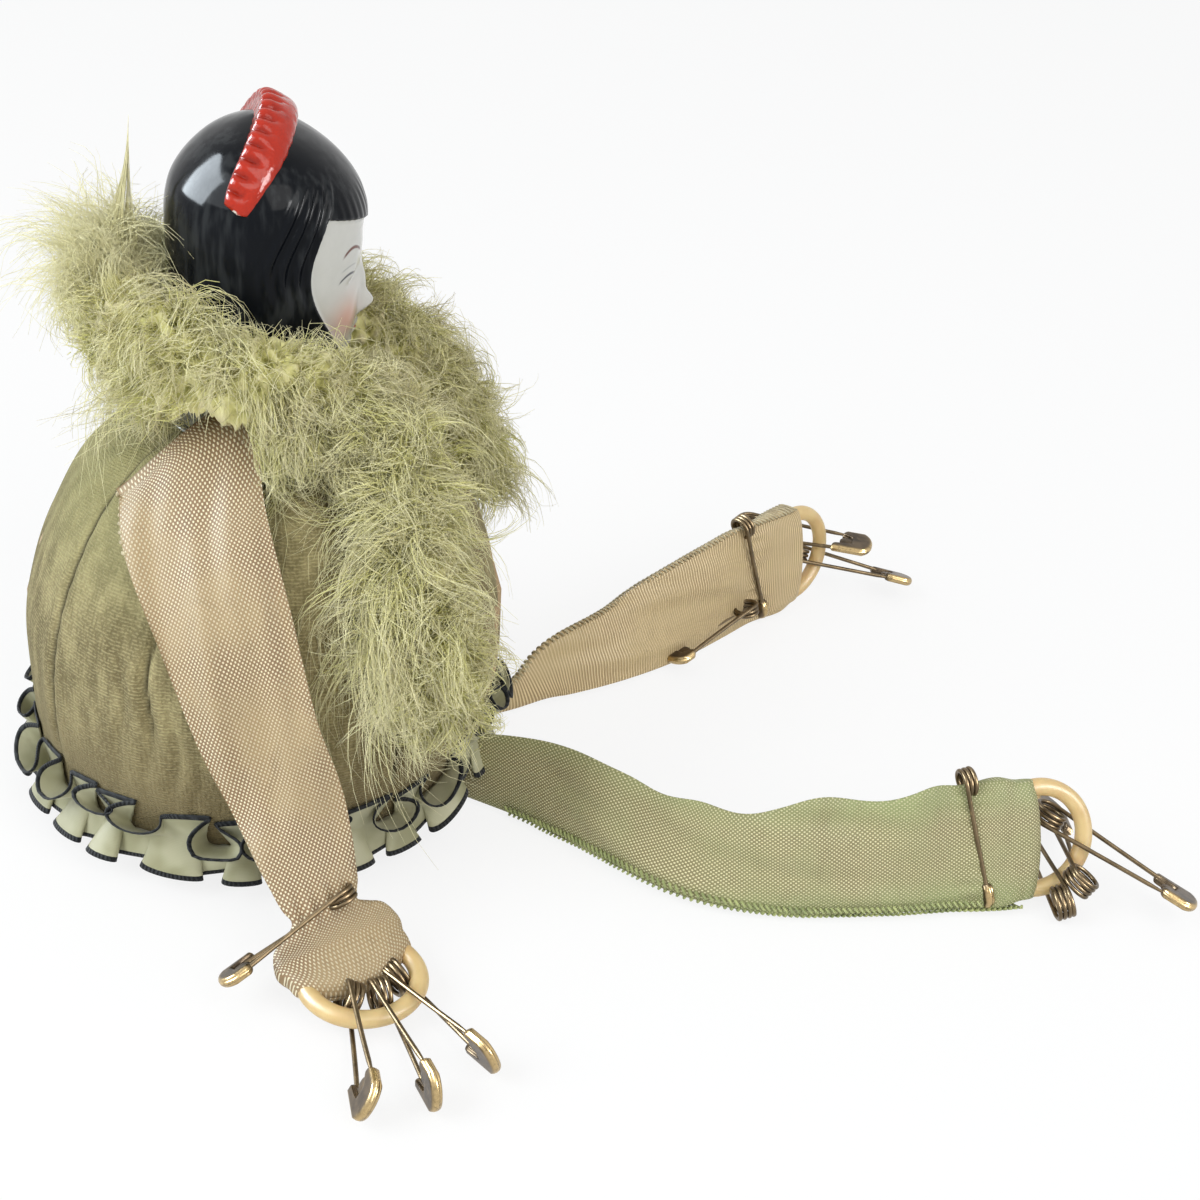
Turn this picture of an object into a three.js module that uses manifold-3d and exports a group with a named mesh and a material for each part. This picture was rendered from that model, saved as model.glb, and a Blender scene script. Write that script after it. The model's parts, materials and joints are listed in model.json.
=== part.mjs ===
// A half-doll pincushion: a glazed porcelain half doll sewn into a velvet cushion, with a marabou boa,
// a gathered ribbon round the base, and ribbon arms and legs that end in rings hung with safety pins.
// Millimetres, +Z up. The doll faces -Y and sits on the floor plane z = 0, its axis on the Z axis.
import * as THREE from "three";
import { mergeVertices } from "three/addons/utils/BufferGeometryUtils.js";
import Module from "manifold-3d";

const wasm = await Module();
wasm.setup();

const V = (x, y, z) => new THREE.Vector3(x, y, z);
const UP = V(0, 0, 1);
const FORWARD = V(0, -1, 0);

// Clearance between pieces that touch
const GAP = 0.35;

// Cushion
const CUSHION_RADIUS = 47.5;
const CUSHION_CENTRE = 34.3; // height of the widest level
const COVER_THICKNESS = 1;
const HEM_RADIUS = 24; // inner edge of the cover turned in below
const GATHERS = 12; // gathers drawn in round the neck
const GATHER_DEPTH = 1.5;
const GATHER_FROM = 30; // height where the gathers begin

// Base
const BASE_CLOTH_INSET = 3.9; // from the edge of the cushion's flat foot
const BASE_CLOTH_THICKNESS = 0.7;
const BOARD_INSET = 2.9; // from the edge of the cushion's flat foot
const BOARD_THICKNESS = 1.6;

// Gathered ribbon round the base
const RUFFLE_WIDTH = 14;
const RUFFLE_THICKNESS = 0.5;
const RUFFLE_HEIGHT = 11; // height of the gathering line
const RUFFLE_RISE = 4.8; // how far it rises over the legs
const RUFFLE_FLARE = 5.5; // how far both edges stand out
const LEGS_HALF_ANGLE = 0.5; // the arc in front that the ruffle rises over, radians

// Half doll
const WAIST_RADIUS = 18;
const WAIST_HEIGHT = 3;
const WAIST_FOOT = 75; // height of the underside of the waist
const SEW_HOLE_RADIUS = 0.9;
const SEW_HOLES = 4;
const HAIR_RELIEF = 0.7; // how far the moulded hair stands proud of the face
const WAIST_THREAD_RADIUS = 0.45;
const COMB_TOP = 20.8; // from the comb's centre to its top edge
const COMB_ENDS = 18.2; // from its centre to the ends of its edge
const COMB_CENTRE = V(0, 2.2, 116);
const COMB_LEAN = 0.24; // forward lean of the comb, radians
const COMB_THICKNESS = 5;
const COMB_REACH = 1.3; // half the angle the comb spans, radians
const COMB_SCALLOPS = 9;

// Boa
const BOA_RADIUS = 10.4;
const BOA_SWELL = 0.9;
const BOA_CORE_RADIUS = 1.1;

// Rings
const RING_OUTER_RADIUS = 11.5;
const RING_WIRE_RADIUS = 1.65;
const RING_RADIUS = RING_OUTER_RADIUS - RING_WIRE_RADIUS;

// Ribbon limbs
const RIBBON_HALF_WIDTH = 12.3;
const RIBBON_HALF_THICKNESS = 1.3; // both plies and the seam between them
const CUFF_WALL = 0.4; // ribbon over the ring
const CUFF_HALF_THICKNESS = (RING_WIRE_RADIUS + GAP + CUFF_WALL) / 0.88;

// Safety pins: length over all, radius of the coil's centre line, length of the cap
const PIN_WIRE_RADIUS = 0.45;
const PIN_PITCH = 1.35;
const PIN_SHEET = 0.45;
const PIN_CAP_THICKNESS = 2.6;
const NEEDLE_POINT = 3; // length of the needle's taper
const CUFF_PIN = { length: 28, coil: 2.4, cap: 6.6 };
const HUNG_PIN = { length: 32, coil: 2.9, cap: 8 };
const LONG_PIN = { length: 38, coil: 2.9, cap: 8 };

// Finishes
const finish = (color, roughness, metalness = 0) =>
  new THREE.MeshStandardMaterial({ color, roughness, metalness });
const PORCELAIN = new THREE.MeshStandardMaterial({ vertexColors: true, roughness: 0.15 });
const SKIN = new THREE.Color(0xe6e2da);
const HAIR = new THREE.Color(0x14161c);
const COMB = new THREE.Color(0xc8321c);
const VELVET = finish(0x9a8f66, 0.95);
const SAWDUST = finish(0xb08f5f, 1);
const CARD = finish(0x9c8460, 0.9);
const LINING = finish(0xa8ad86, 0.8);
const SATIN = finish(0xb9bf94, 0.5);
const THREAD = finish(0x8f8a62, 0.9);
const MARABOU = finish(0xc9cf8c, 1);
const PEACH_RIBBON = finish(0xcdb48c, 0.6);
const GREEN_RIBBON = finish(0xa9ab7c, 0.6);
const IVORY = finish(0xe6c890, 0.35);
const BRASS = finish(0x6e5a3a, 0.4, 0.9);

// Shapes of numbers

const mix = (a, b, t) => a + (b - a) * t;
const ease = (x) => {
  const t = Math.min(Math.max(x, 0), 1);
  return t * t * (3 - 2 * t);
};
const power = (x, exponent) => Math.sign(x) * Math.abs(x) ** exponent;
const smooth = (points) => new THREE.CatmullRomCurve3(points, false, "catmullrom", 0.5);
const along = (start, way, distance) => start.clone().addScaledVector(way, distance);

// Mesh tools

/** Turns a closed mesh's faces outwards if they point in. */
function facingOut(geometry) {
  const p = geometry.getAttribute("position");
  const index = geometry.index.array;
  const [a, b, c] = [V(0, 0, 0), V(0, 0, 0), V(0, 0, 0)];
  let volume = 0;
  for (let i = 0; i < index.length; i += 3) {
    a.fromBufferAttribute(p, index[i]);
    b.fromBufferAttribute(p, index[i + 1]);
    c.fromBufferAttribute(p, index[i + 2]);
    volume += a.dot(b.cross(c));
  }
  if (volume < 0) {
    for (let i = 0; i < index.length; i += 3) {
      [index[i], index[i + 1]] = [index[i + 1], index[i]];
    }
  }
  geometry.computeVertexNormals();
  return geometry;
}

/** A closed skin over rings of equal count; its ends are fans, or joined to each other when closed. */
function loft(rings, closed = false) {
  const count = rings[0].length;
  const points = rings.flat();
  const faces = [];
  const last = closed ? rings.length : rings.length - 1;
  for (let i = 0; i < last; i++) {
    const next = (i + 1) % rings.length;
    for (let k = 0; k < count; k++) {
      const [a, b] = [i * count + k, i * count + ((k + 1) % count)];
      const [c, d] = [next * count + k, next * count + ((k + 1) % count)];
      faces.push(a, b, d, a, d, c);
    }
  }
  if (!closed) {
    for (const ring of [0, rings.length - 1]) {
      const centre = points.length;
      points.push(rings[ring].reduce((sum, p) => sum.add(p), V(0, 0, 0)).divideScalar(count));
      for (let k = 0; k < count; k++) {
        const [a, b] = [ring * count + k, ring * count + ((k + 1) % count)];
        faces.push(...(ring ? [centre, a, b] : [centre, b, a]));
      }
    }
  }
  const geometry = new THREE.BufferGeometry().setFromPoints(points);
  geometry.setIndex(faces);
  return facingOut(geometry);
}

/** A manifold solid of a closed geometry. */
function solidOf(geometry) {
  const bare = geometry.clone();
  bare.deleteAttribute("normal");
  bare.deleteAttribute("uv");
  const merged = mergeVertices(bare, 1e-4);
  return new wasm.Manifold(
    new wasm.Mesh({
      numProp: 3,
      vertProperties: new Float32Array(merged.getAttribute("position").array),
      triVerts: new Uint32Array(merged.index.array),
    }),
  );
}

/** The geometry of a manifold solid. */
function geometryOf(solid) {
  const mesh = solid.getMesh();
  const geometry = new THREE.BufferGeometry();
  geometry.setAttribute("position", new THREE.BufferAttribute(mesh.vertProperties, 3));
  geometry.setIndex(new THREE.BufferAttribute(mesh.triVerts, 1));
  geometry.computeVertexNormals();
  return geometry;
}

/** A geometry with each tool geometry cut away from it. */
function cut(geometry, ...tools) {
  return geometryOf(tools.reduce((left, tool) => left.subtract(solidOf(tool)), solidOf(geometry)));
}

/** Frames carried along points without twisting: tangent, across and over at each point. */
function framesAlong(points) {
  const tangents = points.map((p, i) => {
    const before = points[Math.max(i - 1, 0)];
    const after = points[Math.min(i + 1, points.length - 1)];
    return after.clone().sub(before).normalize();
  });
  const start = Math.abs(tangents[0].z) < 0.9 ? UP : FORWARD;
  let across = start.clone().cross(tangents[0]).normalize();
  return tangents.map((tangent) => {
    across = along(across, tangent, -across.dot(tangent)).normalize();
    return [tangent, across, tangent.clone().cross(across)];
  });
}

/** Rings of a round tube along points; the radius may change along it. */
function tubeRings(points, radiusAt, sides) {
  return framesAlong(points).map(([, across, over], i) =>
    Array.from({ length: sides }, (_, k) => {
      const angle = (2 * Math.PI * k) / sides;
      const side = along(points[i], across, radiusAt(i) * Math.cos(angle));
      return side.addScaledVector(over, radiusAt(i) * Math.sin(angle));
    }),
  );
}

/** The least free gap between stretches of one wire that aren't neighbours along it. */
function leastGap(points, diameter) {
  let least = Infinity;
  let travelled = 0;
  const run = points.map((p, i) => (travelled += i ? p.distanceTo(points[i - 1]) : 0));
  points.forEach((p, i) => {
    for (let j = i + 1; j < points.length; j++) {
      if (run[j] - run[i] > 4 * diameter) {
        least = Math.min(least, p.distanceTo(points[j]) - diameter);
      }
    }
  });
  return least;
}

// The assembly: moving groups stand at their pivots with local Z along the hinge's axis

const doll = new THREE.Group();

/** A moving group at a hinge; what is put in it keeps its place. */
function hinge(parent, name, pivot, axis) {
  const group = new THREE.Group();
  group.name = name;
  group.position.copy(pivot);
  group.quaternion.setFromUnitVectors(UP, axis.clone().normalize());
  doll.add(group);
  doll.updateMatrixWorld(true);
  parent.attach(group);
  return group;
}

/** Adds a named mesh, whose geometry is in the doll's frame, to a group. */
function add(parent, name, geometry, material) {
  const mesh = new THREE.Mesh(geometry, material);
  mesh.name = name;
  doll.add(mesh);
  doll.updateMatrixWorld(true);
  parent.attach(mesh);
  return mesh;
}

// Cushion: a stuffed velvet ball, flat below, gathered in round the doll's waist

const coverFoot = BASE_CLOTH_THICKNESS + GAP;
const footRadius = Math.sqrt(CUSHION_RADIUS ** 2 - (CUSHION_CENTRE - coverFoot) ** 2);
const neckRadius = WAIST_RADIUS + GAP;
const neckHeight = CUSHION_CENTRE + Math.sqrt(CUSHION_RADIUS ** 2 - neckRadius ** 2);
const levelRadius = (z) => Math.sqrt(Math.max(CUSHION_RADIUS ** 2 - (z - CUSHION_CENTRE) ** 2, 0));
const gatherAt = (z) => GATHER_DEPTH * ease((z - GATHER_FROM) / (neckHeight - GATHER_FROM));

/** One wall of the cover as [radius, height] pairs, from the turned-in hem up to the neck. */
function coverWall(inset, levels) {
  const foot = coverFoot + inset;
  const low = Math.asin((coverFoot - CUSHION_CENTRE) / CUSHION_RADIUS);
  const high = Math.acos(neckRadius / CUSHION_RADIUS);
  const wall = Array.from({ length: levels }, (_, i) => {
    const angle = mix(low, high, (i / (levels - 1)) ** 0.9);
    const radius = (CUSHION_RADIUS - inset) * Math.cos(angle);
    const height = CUSHION_CENTRE + (CUSHION_RADIUS - inset) * Math.sin(angle);
    return [Math.max(radius, neckRadius), Math.max(height, foot)];
  });
  return [[HEM_RADIUS, foot], ...wall];
}

function cushionCover() {
  const sides = 4 * GATHERS;
  const profile = [...coverWall(0, 11), ...coverWall(COVER_THICKNESS, 9).reverse()];
  const rings = profile.map(([radius, z]) =>
    Array.from({ length: sides }, (_, k) => {
      const angle = (2 * Math.PI * k) / sides;
      const fold = (0.5 + 0.5 * Math.cos(GATHERS * angle)) ** 2;
      const drawn = radius > neckRadius + 1 ? gatherAt(z) * fold : 0;
      return V((radius - drawn) * Math.sin(angle), -(radius - drawn) * Math.cos(angle), z);
    }),
  );
  return loft(rings, true);
}

const boardFoot = coverFoot + COVER_THICKNESS + GAP;

/** The stuffing, as far from the cover's chords as a soft solid needs. */
function stuffing() {
  const sides = 24;
  const levels = 10;
  const low = boardFoot + BOARD_THICKNESS + GAP;
  const high = WAIST_FOOT - GAP;
  const rings = Array.from({ length: levels + 1 }, (_, i) => {
    const z = mix(low, high, 0.5 - 0.5 * Math.cos((Math.PI * i) / levels));
    const radius = levelRadius(z) - COVER_THICKNESS - 1.4 * gatherAt(z) - 3.5 * GAP;
    return Array.from({ length: sides }, (_, k) => {
      const angle = (2 * Math.PI * k) / sides;
      return V(radius * Math.cos(angle), radius * Math.sin(angle), z);
    });
  });
  return loft(rings);
}

/** A flat round disc with its underside at a height. */
function disc(radius, thickness, foot) {
  const geometry = new THREE.CylinderGeometry(radius, radius, thickness, 32);
  return geometry.rotateX(Math.PI / 2).translate(0, 0, foot + thickness / 2);
}

// Gathered ribbon: a band drawn in along its middle, with both edges flaring out

/** 1 over the legs and 0 elsewhere round the ruffle, by the turn from straight ahead. */
const overLegs = (angle) => 1 - ease((Math.abs(angle) - LEGS_HALF_ANGLE) / 0.35);

function ruffle() {
  const steps = 60;
  const rings = Array.from({ length: steps }, (_, i) => {
    const angle = (2 * Math.PI * i) / steps - Math.PI;
    const middle = RUFFLE_HEIGHT + RUFFLE_RISE * overLegs(angle);
    const seat = levelRadius(middle) + GAP;
    const section = [-1, 0, 1].map((v) => {
      const z = middle + (v * RUFFLE_WIDTH) / 2;
      return [Math.max(seat + Math.abs(v) * RUFFLE_FLARE, levelRadius(z) + GAP), z];
    });
    const outside = section.map(([r, z]) => [r + RUFFLE_THICKNESS, z]).reverse();
    return [...section, ...outside].map(([r, z]) => V(r * Math.sin(angle), -r * Math.cos(angle), z));
  });
  return loft(rings, true);
}

// Half doll: one hollow casting, from the pierced waist to the moulded hair and comb.
// Each level is a height, half a width, the front and the back.
const CASTING = [
  [WAIST_FOOT, WAIST_RADIUS, -WAIST_RADIUS, WAIST_RADIUS],
  [WAIST_FOOT + WAIST_HEIGHT, WAIST_RADIUS, -WAIST_RADIUS, WAIST_RADIUS],
  [WAIST_FOOT + WAIST_HEIGHT + 0.8, 16.6, -16.2, 16.2],
  [81.5, 15.5, -11.5, 11],
  [84.2, 11.5, -9, 9],
  [86.2, 8.4, -7.8, 8],
  [88.2, 7.8, -7.6, 8],
  [89.2, 8.4, -10, 9.5],
  [89.7, 9.4, -12.8, 11],
  [91.2, 11.8, -14.6, 12.8],
  [94, 14.2, -15.6, 14.4],
  [97, 15.6, -16.2, 15.2],
  [100, 16.5, -16.6, 15.7],
  [103.5, 17.2, -16.8, 16],
  [107, 17.7, -16.9, 16.2],
  [110.5, 18, -17.1, 16.3],
  [113.2, 18.2, -17.2, 16.3],
  [114.4, 18.2, -17.3, 16.3],
  [118, 18.2, -16.9, 16.1],
  [122, 17.4, -15.2, 15],
  [125.8, 15.2, -11.9, 12.4],
  [129.2, 11.2, -7.2, 8.6],
  [131.4, 6, -2.6, 4.4],
];
const HOLLOW = [
  [WAIST_FOOT, 15.2, -15.2, 15.2],
  [78.4, 13.6, -13.2, 13.2],
  [82, 9, -7.4, 7.4],
  [86, 5.6, -5.2, 5.4],
  [91, 5.6, -6, 6],
  [94.4, 10.4, -11.4, 10.4],
  [100, 13.6, -13.4, 12.6],
  [110, 15.2, -14.2, 13.4],
  [119, 14.6, -13, 12.8],
  [125, 11, -8, 8.6],
  [128.4, 6, -3, 4.4],
];
const HEAD_TOP = V(0, 0.8, 132.6);
const COMB_UP = V(0, -Math.sin(COMB_LEAN), Math.cos(COMB_LEAN));
const COMB_THROUGH = V(0, Math.cos(COMB_LEAN), Math.sin(COMB_LEAN));

/** The moulded hair's share, 0 on the face and 1 on the hair, by turn from the front and height. */
function hairShare(turn, z) {
  const side = Math.abs(turn);
  const parting = 0.72 + 0.16 * Math.cos((z - 101) / 7);
  const cheek = ease((side - parting) / 0.1) * ease((z - 90) / 2.5);
  const fringe = ease((z - 113.2 + 0.6 * side) / 1.1);
  return z < 90 ? 0 : Math.max(cheek, fringe);
}

/** How far the face stands out at a turn from the front and a height. */
function features(turn, z) {
  const bump = (t0, z0, wide, tall, proud) =>
    proud * Math.exp(-(((turn - t0) / wide) ** 2) - ((z - z0) / tall) ** 2);
  const nose = bump(0, 99.2, 0.13, 2.2, 2.3) + bump(0, 103, 0.1, 3.6, 0.9);
  const mouth = bump(0, 94.6, 0.2, 1, 0.6);
  const chin = bump(0, 91, 0.3, 1.3, 0.5);
  const eyes = bump(0.34, 104, 0.17, 1.8, -0.8) + bump(-0.34, 104, 0.17, 1.8, -0.8);
  const cheeks = bump(0.45, 98, 0.22, 3, 0.5) + bump(-0.45, 98, 0.22, 3, 0.5);
  return nose + mouth + chin + eyes + cheeks;
}

/** The points of one level of the casting; relief adds the features and the hair. */
function castingRing([z, half, front, back], sides, relief) {
  return Array.from({ length: sides }, (_, k) => {
    const even = (2 * Math.PI * k) / sides - Math.PI;
    const turn = even - 0.45 * Math.sin(even);
    const proud = relief ? features(turn, z) + HAIR_RELIEF * hairShare(turn, z) : 0;
    const x = half * Math.sin(turn);
    const y = -(Math.cos(turn) > 0 ? -front : back) * Math.cos(turn);
    const grow = 1 + proud / Math.hypot(x, y);
    return V(x * grow, y * grow, z);
  });
}

/** The head and bust without the hollow, grown outwards by a margin. */
function castingSkin(margin, sides) {
  const rings = CASTING.map(([z, half, front, back]) =>
    castingRing([z, half + margin, front - margin, back + margin], sides, true),
  );
  return loft([...rings, rings.at(-1).map(() => along(HEAD_TOP, UP, margin))]);
}

/** The comb: a scalloped crescent that stands across the crown from ear to ear. */
function comb() {
  const steps = 2 * COMB_SCALLOPS;
  const rings = Array.from({ length: steps + 1 }, (_, i) => {
    const share = (2 * i) / steps - 1;
    const scallop = i % 2 ? 0 : -0.5;
    const outer = mix(COMB_TOP, COMB_ENDS, Math.abs(share) ** 3) + scallop;
    const half = (COMB_THICKNESS / 2) * mix(1, 0.4, share ** 4);
    const spoke = V(Math.sin(share * COMB_REACH), 0, 0);
    spoke.addScaledVector(COMB_UP, Math.cos(share * COMB_REACH));
    const section = [[13, half], [outer - 1.6, half * 0.9], [outer, half * 0.35]];
    const around = [...section, ...section.map(([r, h]) => [r, -h]).reverse()];
    return around.map(([r, h]) => along(along(COMB_CENTRE, spoke, r), COMB_THROUGH, h));
  });
  return loft(rings);
}

/** Paints each face of the casting by where it lies: skin, hair or comb. */
function glazed(geometry) {
  const bare = geometry.toNonIndexed();
  const p = bare.getAttribute("position");
  const colours = new Float32Array(p.count * 3);
  const corner = V(0, 0, 0);
  for (let i = 0; i < p.count; i += 3) {
    const centre = V(0, 0, 0);
    for (let k = 0; k < 3; k++) {
      centre.addScaledVector(corner.fromBufferAttribute(p, i + k), 1 / 3);
    }
    const fromComb = centre.clone().sub(COMB_CENTRE);
    const across = Math.abs(fromComb.dot(COMB_THROUGH)) < COMB_THICKNESS * 0.55;
    const combed = across && fromComb.length() > 17.6 && centre.z > 119;
    const hair = hairShare(Math.atan2(centre.x, -centre.y), centre.z) > 0.5;
    for (let k = 0; k < 3; k++) {
      (combed ? COMB : hair ? HAIR : SKIN).toArray(colours, (i + k) * 3);
    }
  }
  bare.setAttribute("color", new THREE.BufferAttribute(colours, 3));
  return bare;
}

function halfDoll() {
  const inner = HOLLOW.map((level) => castingRing(level, 20, false));
  const core = loft([
    inner[0].map((p) => along(p, UP, -1)),
    ...inner,
    inner[0].map(() => V(0, 0.8, HOLLOW.at(-1)[0] + 1.2)),
  ]);
  const holes = Array.from({ length: SEW_HOLES }, (_, i) => {
    const hole = new THREE.CylinderGeometry(SEW_HOLE_RADIUS, SEW_HOLE_RADIUS, 10, 8);
    hole.translate(0, WAIST_RADIUS, 0).rotateZ(((i + 0.5) * 2 * Math.PI) / SEW_HOLES);
    return hole.translate(0, 0, WAIST_FOOT + WAIST_HEIGHT / 2);
  });
  const whole = solidOf(castingSkin(0, 30)).add(solidOf(comb()));
  return glazed(cut(geometryOf(whole), core, ...holes));
}

/** The thread that draws the cushion's top in over the doll's waist. */
function waistThread() {
  const thread = new THREE.TorusGeometry(WAIST_RADIUS, WAIST_THREAD_RADIUS, 5, 32);
  return thread.translate(0, 0, WAIST_FOOT + WAIST_HEIGHT + WAIST_THREAD_RADIUS + GAP);
}

// Boa: marabou down bound to a core cord, laid round the neck with both ends down the front
const BOA_ROUTE = [
  V(-38, -34, 26),
  V(-39.8, -33.5, 38),
  V(-38.8, -31, 50),
  V(-35.2, -28.8, 60.5),
  V(-29.5, -26.3, 70),
  V(-23.5, -22.5, 78.5),
  V(-20.5, -15.5, 86.5),
  V(-21, -5, 92),
  V(-21, 6, 94.5),
  V(-17.5, 16.5, 97.5),
  V(-9, 24, 99.5),
  V(3, 26, 99),
  V(14, 20.5, 97),
  V(20.5, 9, 94.5),
  V(21, -5, 92),
  V(19, -17, 86),
  V(19, -27, 78.5),
  V(22, -33, 69),
  V(25, -36.5, 59),
  V(27, -39, 48),
];
const BOA_STEPS = 36;
const boaLine = smooth(BOA_ROUTE).getPoints(BOA_STEPS);

const boaCore = () => loft(tubeRings(boaLine, () => BOA_CORE_RADIUS, 5));

/** The down round the core, its bore open at both ends, pressed by the cushion, bust and head. */
function boaDown() {
  const ends = (i) => ease((Math.min(i, BOA_STEPS - i) + 1) / 4);
  const radiusAt = (i) => BOA_RADIUS * mix(0.5, 1, ends(i)) + BOA_SWELL * Math.sin(1.9 * i);
  const skin = loft(tubeRings(boaLine, radiusAt, 10));
  const longer = boaLine.map((p) => p.clone());
  for (const [end, next] of [[0, 1], [BOA_STEPS, BOA_STEPS - 1]]) {
    longer[end].add(longer[end].clone().sub(longer[next]).setLength(0.01));
  }
  const bore = loft(tubeRings(longer, () => BOA_CORE_RADIUS + GAP, 5));
  const bed = new THREE.SphereGeometry(CUSHION_RADIUS + 2 * GAP, 28, 18).rotateX(Math.PI / 2);
  const thread = disc(WAIST_RADIUS + WAIST_THREAD_RADIUS + 2 * GAP, 2 * WAIST_HEIGHT, WAIST_FOOT);
  return cut(skin, bore, bed.translate(0, 0, CUSHION_CENTRE), thread, castingSkin(1.2, 20));
}

// Ribbon limbs: a ribbon folded lengthwise into a flat tube whose open end holds a ring.
// Each station: a point, the way its face looks, half its width, its folds, and how full it is.

/** A limb's frame part of the way along: centre, tangent, face, across and sizes. */
function limbFrame(stations, t) {
  const line = smooth(stations.map((s) => V(...s.at)));
  const face = smooth(stations.map((s) => V(...s.face)));
  const size = smooth(stations.map((s) => V(s.half, s.fold ?? 0.5, s.full ?? 0)));
  const tangent = line.getTangent(t);
  const look = face.getPoint(t);
  look.addScaledVector(tangent, -look.dot(tangent)).normalize();
  return { at: line.getPoint(t), tangent, look, across: look.clone().cross(tangent), size: size.getPoint(t) };
}

/** A flat tube through the stations, with soft lengthwise folds, bent round the cushion by curl. */
function limb(stations, curl) {
  const sides = 12;
  const steps = 3 * (stations.length - 1);
  const rings = Array.from({ length: steps + 1 }, (_, i) => {
    const { at, look, across, size } = limbFrame(stations, i / steps);
    const [half, fold, full] = [size.x, size.y, Math.min(Math.max(size.z, 0), 1)];
    const thick = mix(RIBBON_HALF_THICKNESS, CUFF_HALF_THICKNESS, full);
    return Array.from({ length: sides }, (_, k) => {
      const angle = (2 * Math.PI * k) / sides;
      const u = half * power(Math.cos(angle), mix(0.8, 0.45, full));
      const w = thick * power(Math.sin(angle), mix(0.9, 0.45, full));
      const pleat = fold * Math.sin((3.1 * u) / RIBBON_HALF_WIDTH + 0.9 * i) * Math.abs(Math.sin(angle));
      const bend = (curl(i / steps) * u * u) / (2 * CUSHION_RADIUS);
      return along(along(at, across, u), look, w + pleat - bend);
    });
  });
  return loft(rings);
}

/** The frame of the ring in a limb's end: its centre, the way out, its normal and across. */
function ringFrame(stations, cover) {
  const end = limbFrame(stations, 1);
  const out = end.tangent;
  return { centre: along(end.at, out, -cover), out, normal: end.look, across: end.across };
}

/** A round ring of wire in a frame. */
function ring(frame, wireRadius) {
  const sides = 24;
  const rings = Array.from({ length: sides }, (_, i) => {
    const angle = (2 * Math.PI * i) / sides;
    const spoke = along(frame.out.clone().multiplyScalar(Math.cos(angle)), frame.across, Math.sin(angle));
    return Array.from({ length: 6 }, (_, k) => {
      const turn = (2 * Math.PI * k) / 6;
      const side = along(frame.centre, spoke, RING_RADIUS + wireRadius * Math.cos(turn));
      return side.addScaledVector(frame.normal, wireRadius * Math.sin(turn));
    });
  });
  return loft(rings, true);
}

// Safety pins, in their own frame: +X from the coil to the cap, +Y across to the needle, coil about Z

const pinEnd = ({ length, coil }) => length - coil - PIN_WIRE_RADIUS;
const pinBack = ({ coil }) => coil + PIN_WIRE_RADIUS + GAP + PIN_SHEET;
const wireEnd = (pin) => pinEnd(pin) - 0.7 * pinBack(pin) - 0.3;

/** Points round the coil, clockwise from the back leg's side, as it climbs. */
function coilPoints({ coil }, fromTurn, toTurn, fromZ, toZ, steps) {
  return Array.from({ length: steps + 1 }, (_, i) => {
    const t = i / steps;
    const angle = -Math.PI / 2 - 2 * Math.PI * mix(fromTurn, toTurn, t);
    return V(coil * Math.cos(angle), coil * Math.sin(angle), mix(fromZ, toZ, t));
  });
}

/** The spring of a pin that opens: the back leg and a full turn of the coil. */
const springWire = (pin) => [V(wireEnd(pin), -pin.coil, 0), ...coilPoints(pin, 0, 1, -PIN_PITCH, 0, 8)];

/** The needle of a pin that opens: the last half turn of the coil and the pointed leg. */
const needleWire = (pin) => [
  ...coilPoints(pin, 0, 0.5, PIN_PITCH, PIN_PITCH, 5),
  V(wireEnd(pin) - NEEDLE_POINT, pin.coil, 0.1 * PIN_PITCH),
  V(wireEnd(pin), pin.coil, 0),
];

/** The wire of a closed pin: back leg, coil and needle in one. */
const closedWire = (pin) => [
  V(wireEnd(pin), -pin.coil, 0),
  ...coilPoints(pin, 0, 1.5, -0.75 * PIN_PITCH, 0.75 * PIN_PITCH, 12),
  V(wireEnd(pin) - 1, pin.coil, 0),
];

/** A wire swept along points, sharpened at its end if it is a needle. */
function wire(points, pointed) {
  const radiusAt = (i) => (pointed && i === points.length - 1 ? 0.3 : 1) * PIN_WIRE_RADIUS;
  return loft(tubeRings(points, radiusAt, 5));
}

/** A flat plate of an outline, centred on its thickness. */
function plate(outline, thickness) {
  const shape = new THREE.Shape(outline.map(([x, y]) => new THREE.Vector2(x, y)));
  const geometry = new THREE.ExtrudeGeometry(shape, { depth: thickness, bevelEnabled: false });
  return geometry.translate(0, 0, -thickness / 2);
}

/** The folded sheet cap: two plates joined round the end and along the back leg. */
function cap(pin) {
  const end = pinEnd(pin);
  const start = end - pin.cap;
  const back = pinBack(pin);
  const side = pin.coil + PIN_WIRE_RADIUS + 0.6;
  const bend = 0.7 * back;
  const outline = [
    [start - 1.2, -back],
    [end - bend, -back],
    [end - 0.3 * bend, 0.3 * bend - back],
    [end, bend - back],
    [end, side - bend],
    [end - 0.3 * bend, side - 0.3 * bend],
    [end - bend, side],
    [start + 1, side],
    [start + 1.3, side - 1.7],
    [start + 3.2, 0.9],
    [start + 3, -0.8],
    [start - 1.2, 1.9 - back],
  ];
  const inside = [
    [start - 3, PIN_SHEET - back],
    [end - bend, PIN_SHEET - back],
    [end - 0.3 * bend - PIN_SHEET, 0.3 * bend + 0.6 * PIN_SHEET - back],
    [end - PIN_SHEET, bend - back],
    [end - PIN_SHEET, side - bend],
    [end - 0.6 * bend - PIN_SHEET, side + 2],
    [start - 3, side + 2],
  ];
  return cut(plate(outline, PIN_CAP_THICKNESS), plate(inside, PIN_CAP_THICKNESS - 2 * PIN_SHEET));
}

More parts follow.
